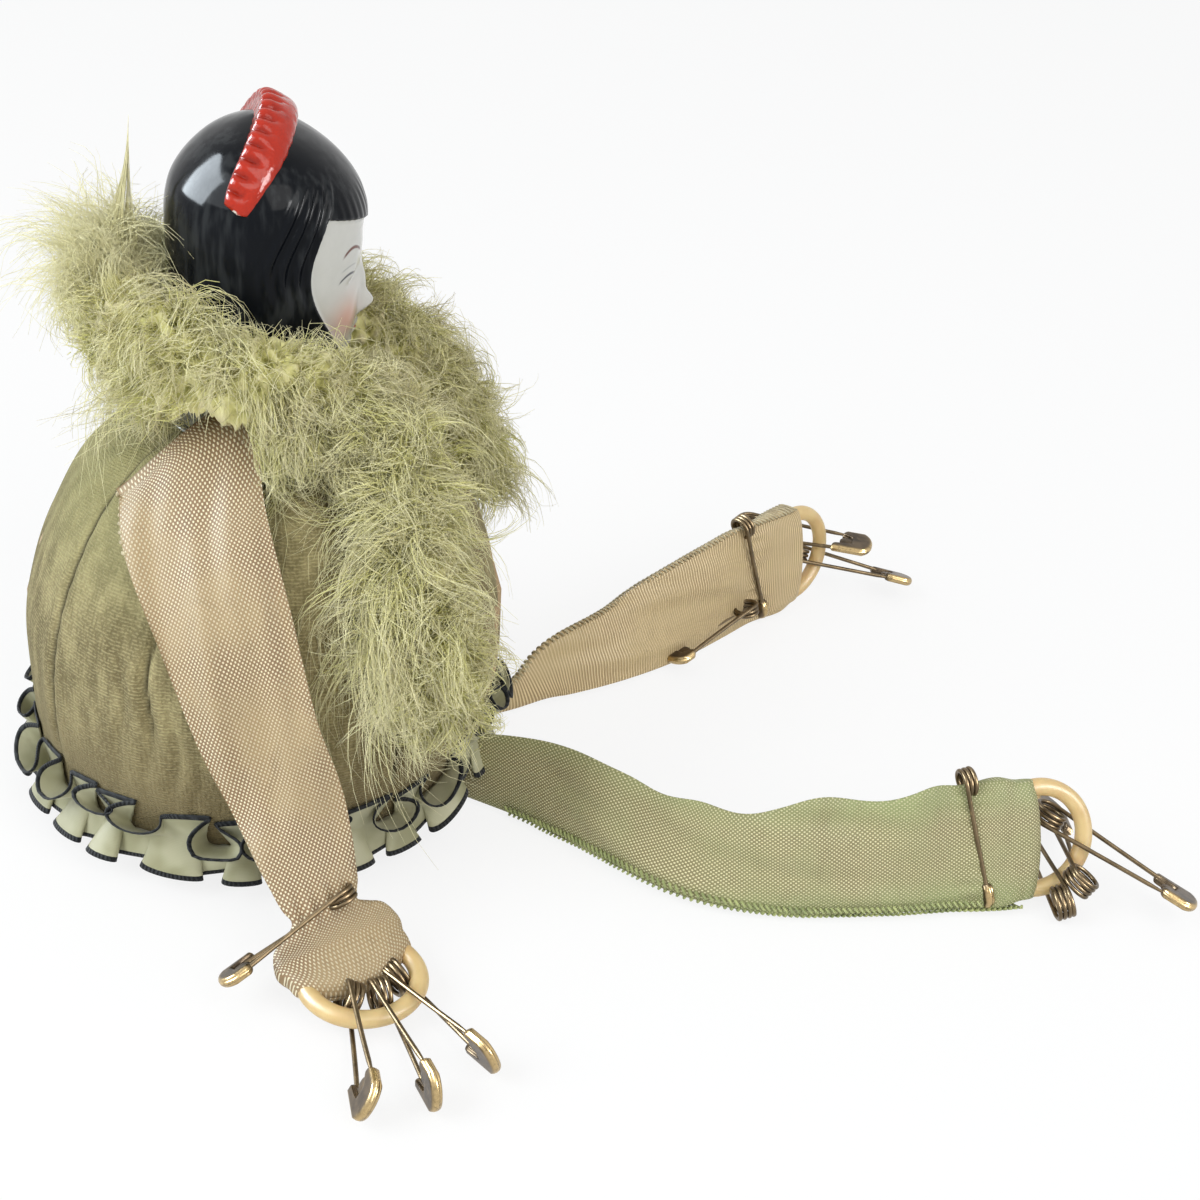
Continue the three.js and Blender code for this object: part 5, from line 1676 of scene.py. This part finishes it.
@dataclass
class Boa:
    """Marabou down bound to a cord, laid round the neck with both ends down the front."""

    cushion: Cushion
    doll: HalfDoll
    limbs: tuple[RibbonLimb, ...]
    route: tuple[tuple[float, float, float], ...] = (
        (-40, -32.4, 36.5), (-40.8, -31.6, 43), (-40, -29.4, 51), (-36.4, -27.3, 60.5), (-29.9, -25.6, 70),
        (-23.5, -22.5, 78.5), (-20.5, -15.5, 86.5), (-21, -5, 92), (-21, 6, 94.5), (-17.5, 16.5, 97.5),
        (-9, 24, 99.5), (3, 26, 99), (14, 20.5, 97), (20.5, 9, 94.5), (21, -5, 92), (19, -17, 86),
        (19, -27, 78.5), (22, -33, 69), (25, -36.5, 59), (27, -39, 48),
    )
    core: float = 1.1
    matted: float = 5.9
    seed: int = 7
    coats: tuple[Wisps, ...] = (
        Wisps(3200, 6, 3, (4.0, 9.0), (0.6, 2.0), 1.1, 0.105),
        Wisps(1300, 14, 5, (7.5, 15.5), (1.2, 3.6), 1.3, 0.092),
        Wisps(360, 15, 8, (14.0, 22.0), (1.6, 4.2), 1.1, 0.085),
    )
    rising: Wisps = Wisps(230, 12, 8, (9.0, 28.0), (0.5, 3.0), 1.2, 0.085)
    spike_root: tuple[float, float, float] = (0.0, 25.5, 99.0)
    spike_tip: tuple[float, float, float] = (0.0, 22.3, 131.5)

    def clear(self, points: Array, margin: Union[float, Array]) -> Array:
        """Returns points pushed out of the cushion's ball and out of the bust and head."""
        margin = np.asarray(margin, float)
        centre = np.array([0, 0, self.cushion.centre])
        squeeze = np.array([1, self.cushion.depth, 1])
        away = (points - centre) / squeeze
        reach = np.linalg.norm(away, axis=-1, keepdims=True)
        least = (self.cushion.radius + margin)[..., None]
        points = centre + away * np.maximum(reach, least) / np.maximum(reach, 1e-6) * squeeze
        z = points[..., 2]
        half, front, back = np.moveaxis(self.doll.outline(np.clip(z, 75, 132)), -1, 0)
        depth = np.where(points[..., 1] < 0, -front, back)
        share = np.hypot(points[..., 0] / (half + margin), points[..., 1] / (depth + margin))
        inside = (share < 1) & (z < 132)
        grow = np.where(inside, 1 / np.maximum(share, 0.05), 1)
        points = points * stacked(grow, grow, 1)
        points[..., 2] = np.maximum(points[..., 2], 1.0)
        return points

    def free_of_arms(self, paths: Array) -> Array:
        """Returns which barbs neither pass through an arm nor lie over it."""
        keep = np.ones(len(paths), bool)
        for limb in self.limbs:
            f = limb.frame(np.linspace(0, 0.7, 36))
            first_half = f["half"][0, 0]
            above = np.array([6.5, 4.0, 2.0])[:, None]
            wide = np.array([2.2, 3.8, 5.8])[:, None]
            lean = -limb.seam * (first_half - wide)
            first = {name: np.repeat(value[:1], 3, axis=0) for name, value in f.items()}
            peak = first["at"] - first["tangent"] * above + first["across"] * lean
            at = np.vstack([peak, f["at"]])
            half = np.vstack([wide, f["half"] - 0.2])
            across, look, tangent = (np.vstack([first[k], f[k]]) for k in ("across", "look", "tangent"))
            for k in range(paths.shape[1]):
                away = paths[:, k, None] - at
                u = np.abs(np.sum(away * across, axis=-1))
                w = np.sum(away * look, axis=-1)
                s = np.abs(np.sum(away * tangent, axis=-1))
                hit = (u < half[:, 0]) & (w > -1.6) & (w < 13) & (s < 1.9)
                keep &= ~hit.any(axis=1)
        return keep

    def wisps(
        self, rng: Chance, kind: Wisps, root: Array, way: Array, bend: Array, length: Array, curl: Array
    ) -> Barbs:
        """Works out wisps of down, each a lock of barbs that curl together.

        The lock's line is an arc of a circle: its root, plus its length times the sine of the turning
        over the curl along its way, and times one less the cosine over the curl along its bend. A
        barb stands off that line by its own amount, less towards the tip, and stops at its own place.

        Args:
            rng: Source of the chances.
            kind: The kind of wisp.
            root: Root of each wisp.
            way: Direction of each at its root.
            bend: Direction that each curls to.
            length: Length of each wisp, in millimetres.
            curl: How far each turns, in radians.

        Returns:
            Paths, radii, the place along each and a tone for each barb.
        """
        each, stations = kind.each, kind.stations
        count = len(root)
        bend = unit(bend - dot(bend, way) * way)
        s = np.linspace(0, 1, stations)[:, None]
        reach = (0.45 + 0.6 * rng.random((count, each, 1, 1))) * s
        turning = curl[:, None, None, None] * reach
        tight = curl[:, None, None, None]
        long = length[:, None, None, None]
        line = way[:, None, None] * np.sin(turning) + bend[:, None, None] * (1 - np.cos(turning))
        line = long * line / tight
        own = rng.normal(size=(count, each, 1, 3)) * kind.spread
        stray = rng.normal(size=(count, each, 1, 3)) * 0.085 * long
        phase = TAU * rng.random((count, each, 1, 1))
        beside = np.cross(way, bend)[:, None, None]
        sway = beside * long * 0.055 * (np.sin(phase + 7 * reach) - np.sin(phase))
        paths = root[:, None, None] + line + own * (1 - 0.7 * reach) + stray * reach**1.5 + sway
        paths = paths.reshape(-1, stations, 3)
        paths[..., 2] -= 0.010 * (reach * long).reshape(-1, stations) ** 2
        paths = self.clear(paths, 0.25 + 1.1 * rng.random((len(paths), 1)))
        radii = kind.width * (1 - 0.75 * s[:, 0] ** 1.5) * (0.7 + 0.6 * rng.random((len(paths), 1)))
        tip = np.broadcast_to(s[:, 0], (len(paths), stations))
        tone = np.repeat(rng.random(count), each)[:, None] * 0.7 + 0.3 * rng.random((len(paths), 1))
        rising = paths[..., 2] - 104 - 0.25 * paths[..., 1]
        on_face = (rising > 0) & (paths[..., 1] < 3) & (paths[..., 0] < 4)
        keep = self.free_of_arms(paths) & ~on_face.any(axis=1)
        return paths[keep], radii[keep], tip[keep], np.broadcast_to(tone, tip.shape)[keep]

    def coat(self, rng: Chance, kind: Wisps) -> Barbs:
        """Works out wisps all along the cord, which lean to its two sides and outwards.

        On the hanging end they are longer towards the arm, and behind the neck they hang lower.

        Args:
            rng: Source of the chances.
            kind: The kind of wisp.

        Returns:
            The same as wisps.
        """
        count, length, curl = kind.count, kind.length, kind.curl
        route = np.array(self.route)
        place = (np.arange(count) + rng.random(count)) / count
        t = np.interp(place, np.linspace(0, 1, 400), even(route, 400))
        at, tangent = curve(route, t), slope(route, t)
        collar = ease((at[:, 2] - 76) / 10)[:, None]
        out = unit(at - [0, 0, self.cushion.centre]) * (1 - collar) + unit(at * [1, 1, 0]) * collar
        out = unit(out - dot(out, tangent) * tangent)
        side = np.cross(tangent, out)
        hanging = ease((0.25 - t) / 0.06)[:, None]
        beside = ease((at[:, 1:2] + 14) / 8) * ease((24 - at[:, 1:2]) / 8)
        draped = (at[:, :1] < 0) * beside * collar
        chance = rng.random((count, 1))
        chance = mix(chance, 1 - (1 - chance) ** 2.0, np.maximum(hanging, 0.6 * draped))
        angle = np.pi * (chance * 1.24 - 0.12)
        toward = ease((chance - 0.5) / 0.35)[:, 0]
        slant = tangent * 0.55 * rng.normal(size=(count, 1))
        way = unit(side * np.cos(angle) + out * np.sin(angle) + slant)
        root = at + way * rng.uniform(3.0, 7.0, (count, 1)) * (1 + 0.7 * toward[:, None] * draped)
        root = root + rng.normal(size=(count, 3)) * 0.9
        bend = rng.normal(size=(count, 3)) - 0.45 * UP
        size = mix(length[0], length[1], rng.beta(1.5, 2.2, count))
        size = size * (1 + 0.75 * toward * np.maximum(hanging, draped)[:, 0])
        size = size * (1 - 0.4 * ease((at[:, 1] - 14) / 9))
        size = size * (1 + 0.4 * ease((0.4 - chance) / 0.3) * draped)[:, 0] * mix(0.35, 1, ease(t / 0.12))
        turning = mix(curl[0], curl[1], rng.random(count))
        return self.wisps(rng, kind, root, way, bend, size, turning)

    def plume(self, rng: Chance, kind: Wisps) -> Barbs:
        """Works out the loose plume behind the head: wisps that rise and curl, the longest upright.

        Args:
            rng: Source of the chances.
            kind: The kind of wisp.

        Returns:
            The same as wisps.
        """
        count, longest = kind.count, kind.length[1]
        side = rng.normal(size=(count, 1))
        root = np.array([0, 25.5, 101]) + side * [5.0, 0, 0] + rng.normal(size=(count, 3)) * [1.5, 3.0, 2.5]
        size = mix(kind.length[0], longest, rng.beta(1.6, 1.5, count))
        lean = rng.normal(size=(count, 3)) * [0.34, 0.42, 0.12] * (1.3 - size / 25)[:, None]
        way = unit(np.array([0, 0.06, 1.0]) + lean)
        bend = rng.normal(size=(count, 3)) * 0.8 + [0, 0.3, 0]
        turning = mix(*kind.curl, rng.random(count))
        paths, radii, tip, tone = self.wisps(rng, kind, root, way, bend, size, turning)
        return paths, radii, np.minimum(tip + 0.6, 1), tone * 0.45

    def spike(self, rng: Chance, count: int, stations: int) -> Barbs:
        """Works out the tall spike at the back: barbs that lean together into one point.

        A barb runs from its own root to the tip; its distance from the spike's line shrinks as the
        place along it grows, and it waves a little.

        Args:
            rng: Source of the chances.
            count: Number of barbs.
            stations: Points of a barb.

        Returns:
            The same as wisps.
        """
        s = np.linspace(0, 1, stations)[:, None]
        root, tip = np.array(self.spike_root), np.array(self.spike_tip)
        spread = rng.normal(size=(count, 3)) * [2.6, 3.0, 1.5]
        place = s * (0.55 + 0.45 * rng.random((count, 1, 1)))
        line = root + (tip - root) * place
        line = line + np.array([0, 1.1, 0]) * np.sin(4.4 * place + 0.6) * (1 - place)
        wave = rng.normal(size=(count, 1, 3)) * 0.3 * np.sin(5.0 * s + 6.28 * rng.random((count, 1, 1)))
        paths = self.clear(line + spread[:, None] * (1 - place) ** 2 + wave * (1 - place), 0.5)
        radii = 0.085 * (1 - 0.6 * s[:, 0]) * np.ones((count, 1))
        shape = (count, stations)
        tones = 0.25 + 0.4 * rng.random((count, 1))
        return paths, radii, np.broadcast_to(0.3 + 0.7 * s[:, 0], shape), np.broadcast_to(tones, shape)

    def heart(self) -> Skin:
        """Works out the matted down round the cord.

        It is a tube whose radius is the mean one times one plus a sum of sines, each with its own
        count along and around, so that tufts and hollows lie at chance. Behind the neck its lower half
        hangs further down, and all of it is pushed off the solids.
        """
        route = np.array(self.route)
        rows = 520
        t = even(route, rows)
        at, tangent = curve(route, t), slope(route, t)
        first = unit(np.cross(tangent, at - [0, 0, 60]))
        second = np.cross(tangent, first)
        turn = circle(84)[None, :]
        s = np.linspace(0, 1, rows)[:, None]
        rng = np.random.default_rng(self.seed + 1)
        tufts = np.zeros((rows, turn.size))
        for along, around in zip(rng.uniform(10, 150, 46), rng.integers(1, 16, 46)):
            size = 1 / (1 + along / 60 + around / 9)
            around = rng.choice([-1, 1]) * around
            tufts += size * np.sin(TAU * along * s + around * turn + rng.uniform(0, 6.28))
        tufts = tufts / tufts.std()
        ends = np.sqrt(np.clip(np.minimum(s, 1 - s) / 0.03, 0, 1))
        radius = (self.matted * (1 + 0.11 * tufts) * ends + 0.2)[..., None]
        ring = first[:, None] * np.cos(turn)[..., None] + second[:, None] * np.sin(turn)[..., None]
        _, y, z = at.T
        behind = (0.4 + 0.7 * ease((y - 8) / 8)) * ease((y + 6) / 8) * ease((z - 86) / 6)
        low = (ring[..., 2] < 0) * behind[:, None]
        ring = ring * stacked(1, 1, 1 + low)
        points = self.clear(at[:, None] + radius * ring, 0.5)
        # The mark hollow darkens the down between the tufts: painted shade.
        marks = {"tip": 0.3 + 0.12 * tufts, "tone": 0.4 + 0.2 * tufts, "hollow": ease(-0.6 * tufts)}
        return loft(points, marks=marks)

    def build(self, finish: Down, thread: Stitching) -> list[Object]:
        """Builds the boa: its cord, the matted down on it and the loose barbs, in several pieces.

        Args:
            finish: Its down.
            thread: Finish of the cord.

        Returns:
            The pieces; the first down piece stands for the CAD model's down.
        """
        rng = np.random.default_rng(self.seed)
        material = finish.material()
        route = np.array(self.route)
        path = curve(route, even(route, 500))
        cord = twisted(path, self.core, 2, 3.2, unit(path * [1, 1, 0] + [0.001, 0, 0]))
        core = cord.build("boa_cord", thread.material())
        settle(core, "doll", "thread", "boa_core")
        heart = self.heart().build("boa_heart", material)
        settle(heart, "doll", "marabou", "boa_down")
        made = [core, heart]
        kinds = [self.coat(rng, kind) for kind in self.coats]
        kinds += [self.plume(rng, self.rising), self.spike(rng, 90, 10)]
        for paths, radii, tip, tone in kinds:
            per_barb = 6 * (paths.shape[1] - 1) + 6
            share = int(190_000 / per_barb)
            for start in range(0, len(paths), share):
                part = slice(start, start + share)
                guide = unit(rng.normal(size=(len(paths[part]), 1, 3)))
                skin = tubes(paths[part], radii[part], 3, guide, {"tip": tip[part], "tone": tone[part]})
                piece = skin.build(f"boa_barbs_{len(made) - 1}", material)
                made.append(settle(piece, "doll", "marabou"))
        log.info("boa: %d pieces, %d barbs", len(made), sum(len(k[0]) for k in kinds))
        return made


# The studio


@dataclass
class Studio:
    """Camera, pale floor and soft light."""

    camera_at: tuple[float, float, float] = (-358.67, -7.43, 246.6)
    target: tuple[float, float, float] = (7.91, -65.49, 32.31)
    roll: float = 4.5
    lens: float = 64.2855
    surround: float = 0.60

    def camera(self) -> None:
        """Places the camera at the photograph's angle."""
        data = bpy.data.cameras.new("camera")
        data.lens = self.lens
        data.sensor_width = 36
        data.clip_start = 0.01
        data.clip_end = 20
        made = bpy.data.objects.new("camera", data)
        bpy.context.scene.collection.objects.link(made)
        at, target = Vector(self.camera_at) * MM, Vector(self.target) * MM
        turned = (target - at).to_track_quat("-Z", "Y").to_matrix().to_4x4()
        rolled = Matrix.Rotation(math.radians(self.roll), 4, "Z")
        made.matrix_world = Matrix.Translation(at) @ turned @ rolled
        bpy.context.scene.camera = made

    def floor(self) -> None:
        """Lays a white floor whose shadows stay soft and faint."""
        size = 6.0
        mesh = bpy.data.meshes.new("floor")
        corners = [(-size, -size, 0), (size, -size, 0), (size, size, 0), (-size, size, 0)]
        mesh.from_pydata([(x, y, -0.0002) for x, y, _ in corners], [], [(0, 1, 2, 3)])
        g = Graph("floor_white")
        plain = g.node("BsdfDiffuse", inputs={"Color": (0.86, 0.86, 0.855)})
        glow = g.node("Emission", inputs={"Color": (1.0, 1.0, 1.0), "Strength": 1.0})
        share = g.looked_at() * 0.83
        both = g.node("MixShader", inputs={0: share, 1: plain.outputs[0], 2: glow.outputs[0]})
        g.node("OutputMaterial", inputs={0: both.outputs[0]})
        mesh.materials.append(g.material)
        made = bpy.data.objects.new("floor", mesh)
        bpy.context.scene.collection.objects.link(made)

    def world(self) -> None:
        """Sets a white surround for what the camera and reflections see, and a plain one for light."""
        world = bpy.data.worlds.new("surround")
        g = Graph("surround", world)
        light = g.node("Background", inputs={0: (0.96, 0.98, 1.0), 1: self.surround})
        white = g.node("Background", inputs={0: (1.0, 1.0, 1.0)})
        both = g.node("MixShader", inputs={0: g.looked_at(), 1: light.outputs[0], 2: white.outputs[0]})
        g.node("OutputWorld", inputs={0: both.outputs[0]})
        bpy.context.scene.world = world

    def lamp(
        self, name: str, at: Sequence[float], size: float, watts: float, colour: Colour, gloss: bool = False
    ) -> None:
        """Adds a soft square lamp that looks at the doll.

        Args:
            name: Its name.
            at: Its place, in metres.
            size: Its side, in metres.
            watts: Its power.
            colour: Its light.
            gloss: Whether it shows in glazes and metal only.
        """
        data = bpy.data.lights.new(name, "AREA")
        data.size = size
        data.energy = watts
        data.color = colour
        made = bpy.data.objects.new(name, data)
        bpy.context.scene.collection.objects.link(made)
        place = Vector(at)
        made.location = place
        made.visible_camera = False
        made.visible_diffuse = not gloss
        made.rotation_euler = (Vector((0, -0.05, 0.05)) - place).to_track_quat("-Z", "Y").to_euler()

    def build(self) -> None:
        """Sets up everything that isn't part of the object."""
        self.camera()
        self.floor()
        self.world()
        self.lamp("window", (-0.32, 0.66, 0.60), 0.62, 6.3, (0.90, 0.96, 1.0))
        self.lamp("window_pane", (0.14, 0.80, 0.50), 0.64, 44.0, (0.84, 0.93, 1.0), gloss=True)
        self.lamp("front_pane", (-0.50, -0.72, 0.34), 0.34, 9.0, (1.0, 1.0, 1.0), gloss=True)
        self.lamp("overhead", (-0.75, -0.45, 0.80), 0.7, 5.2, (1.0, 0.98, 0.95))
        bpy.context.scene.view_settings.view_transform = "Standard"


# The parts of this doll

RIGHT_ARM = (
    (-20.5, 14.4, 77.6, -0.41, 0.29, 0.86, 12.2, 0, 0),
    (-24.4, 12.8, 76.2, -0.47, 0.26, 0.84, 12.3, 0.2, 0),
    (-33.9, 11.4, 69.8, -0.68, 0.22, 0.7, 12.6, 0.8, 0),
    (-44.4, 6.4, 57.2, -0.89, 0.13, 0.44, 11.6, 0.9, 0),
    (-50.6, 1, 40.4, -0.98, 0.03, 0.15, 10.4, 0.9, 0), (-53.6, -4, 28.5, -0.98, 0, 0.2, 9.6, 0.7, 0),
    (-57.6, -7, 20.8, -0.88, -0.15, 0.45, 8.6, 0.3, 0),
    (-62.6, -9.8, 13.6, -0.74, -0.24, 0.62, 7.6, 0.1, 0),
    (-65, -11.6, 8.8, -0.56, -0.22, 0.8, 11, 0.1, 0.3),
    (-67.6, -13.3, 6.2, -0.34, -0.14, 0.93, 12.2, 0, 0.8),
    (-71.4, -15.6, 5, -0.12, -0.05, 0.99, 12.6, 0, 1),
)
LEFT_ARM = tuple((-x, y, z, -a, *rest) for x, y, z, a, *rest in RIGHT_ARM)
RIGHT_LEG = (
    (-13.2, -36.2, 8, -0.8, 0.6, 0.1, 6.6, 0, 0), (-20.5, -48.2, 9.3, -0.8, 0.6, 0.1, 8.6, 0, 0),
    (-27, -56, 10.2, -0.8, 0.55, 0.2, 9.2, 0.3, 0), (-35.5, -64.5, 10.6, -0.8, 0.5, 0.3, 8.8, 0.5, 0),
    (-46, -78.5, 9.8, -0.92, 0.3, 0.4, 8.6, 0.5, 0), (-51, -94, 11.4, -1, 0.1, 0.3, 10.6, 0.5, 0),
    (-51.2, -111, 12.4, -1, -0.1, 0.25, 11.6, 0.5, 0), (-49.8, -125, 12.6, -0.97, -0.12, 0.3, 12, 0, 0),
    (-48.4, -133.5, 12.6, -0.95, -0.12, 0.33, 12.4, 0, 0.9),
    (-47, -142.2, 12.6, -0.93, -0.12, 0.36, 12.6, 0, 1),
)
LEFT_LEG = (
    (11.6, -38.1, 4.3, -0.85, -0.5, 0.1, 3.2, 0, 0), (16.2, -50, 4.6, -0.85, -0.5, 0.1, 3.4, 0, 0),
    (21, -59.5, 8.2, -0.85, -0.4, 0.3, 6.6, 0.3, 0), (28.5, -73.5, 9.8, -0.8, -0.45, 0.4, 8.4, 0.5, 0),
    (38.3, -87.5, 11.6, -0.82, -0.5, 0.25, 11, 0.5, 0),
    (47.4, -99.2, 12.6, -0.82, -0.55, 0.15, 12.2, 0.5, 0),
    (52.4, -105.4, 12.8, -0.82, -0.55, 0.1, 12.4, 0, 0),
    (57.6, -112, 12.8, -0.82, -0.55, 0.1, 12.5, 0, 0.9),
    (62.6, -118.4, 12.9, -0.82, -0.55, 0.1, 12.6, 0, 1),
)
PALE_THREAD = Stitching("pale_thread", (0.72, 0.62, 0.38), (0.40, 0.31, 0.16))
GREEN_THREAD = Stitching("green_thread", (0.60, 0.64, 0.27), (0.24, 0.29, 0.11))
DULL_THREAD = Stitching("dull_thread", (0.42, 0.40, 0.24), (0.22, 0.21, 0.12))


def limbs() -> tuple[RibbonLimb, ...]:
    """Returns the four limbs: right arm, left arm, right leg and left leg."""
    arm = {
        "cover": -2.0, "weave": PEACH, "thread": PALE_THREAD, "slot": "peach_ribbon", "over_cushion": True,
        "bulge": 4.4, "shoulder": 7.5, "pinch": 0.27, "sewn": ((0.0, 0.16, 0.1, 1.4),),
    }
    return (
        RibbonLimb(
            "right_arm", RIGHT_ARM, seam=-1, cuff_pins=(CuffPin(0.72, 0.25, 8, 1.4, -1),),
            pins=(PinKind.HUNG,) * 3, **arm,
        ),
        RibbonLimb(
            "left_arm", LEFT_ARM, seam=1, cuff_pins=(CuffPin(0.72, 0.25, 8, 1.4, 1),),
            pins=(PinKind.HUNG,) * 2, **arm,
        ),
        RibbonLimb(
            "right_leg", RIGHT_LEG, cover=-0.8, seam=-1, sewn=((0.1, 0.97, 0.1), (0.1, 0.9, 1.5)),
            weave=SAGE, thread=GREEN_THREAD, slot="green_ribbon", ripple=1.2,
            cuff_pins=(CuffPin(0.85, 0.16, -1.5, 0, -1),), pins=(PinKind.LONG, PinKind.HUNG, PinKind.HUNG),
        ),
        RibbonLimb(
            # The left leg wears the lighter peach: painted light.
            "left_leg", LEFT_LEG, cover=1.0, seam=1, weave=PEACH_FAILLE_PAINTED_LIGHT, thread=PALE_THREAD,
            slot="peach_ribbon",
            cuff_pins=(CuffPin(0.77, 0.25, -1.6, 0, -1), CuffPin(0.56, -12, 0, 2.4, -1, -7.6)),
            pins=(PinKind.HUNG,) * 2,
        ),
    )


def waist_thread(finish: Stitching) -> Object:
    """Builds the twisted thread that draws the cushion in over the waist."""
    turn = np.linspace(0, TAU, 400)
    path = stacked(18 * np.cos(turn), 18 * np.sin(turn), 78.8)
    made = twisted(path, 0.45, 2, 1.5, UP + 0 * path).build("waist_binding", finish.material())
    return settle(made, "doll", "thread", "waist_thread")


def main() -> None:
    """Builds every piece in order."""
    logging.basicConfig(level=logging.INFO, format="%(name)s: %(message)s")
    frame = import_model()
    joints = {joint["name"]: joint for joint in frame["joints"]}
    Studio().build()

    lining = Plain("cotton_lining", (0.46, 0.48, 0.33), (0.30, 0.31, 0.20), 1.5, 0.08, threads=0.5)
    card = Plain("grey_card", (0.40, 0.31, 0.18), (0.26, 0.2, 0.12), 0.8, 0.05)
    sawdust = Plain("sawdust", (0.52, 0.36, 0.18), (0.28, 0.18, 0.08), 0.7, 0.5)
    for node, finish in (("base_board", card), ("cushion_stuffing", sawdust)):
        mesh = frame["nodes"][node].data
        mesh.materials.clear()
        mesh.materials.append(finish.material())

    cushion = Cushion()
    settle(cushion.build(Velvet()), "doll", "velvet", "cushion_cover")
    log.info("cushion: %.0f mm across", 2 * cushion.radius)
    cloth, sewn = Base().build(lining, DULL_THREAD)
    settle(cloth, "doll", "lining", "base_cloth")
    settle(sewn, "doll", "thread")
    settle(Ruffle(cushion).build(EdgedSatin()), "doll", "satin", "ruffle_ribbon")
    log.info("ruffle: built")

    doll = HalfDoll()
    head, comb = doll.build(Porcelain(), RedGlaze())
    settle(head, "doll", "porcelain", "porcelain_half_doll")
    settle(comb, "doll", "porcelain")
    waist_thread(DULL_THREAD)
    log.info("half doll: head %.0f mm wide", 2 * max(level[1] for level in doll.levels))

    brass, ivory = AgedBrass().material(), Ivory().material()
    four = limbs()
    for limb in four:
        limb.build(joints, brass, ivory)
    Boa(cushion, doll, four[:2]).build(Down(), DULL_THREAD)


if __name__ == "__main__":
    main()
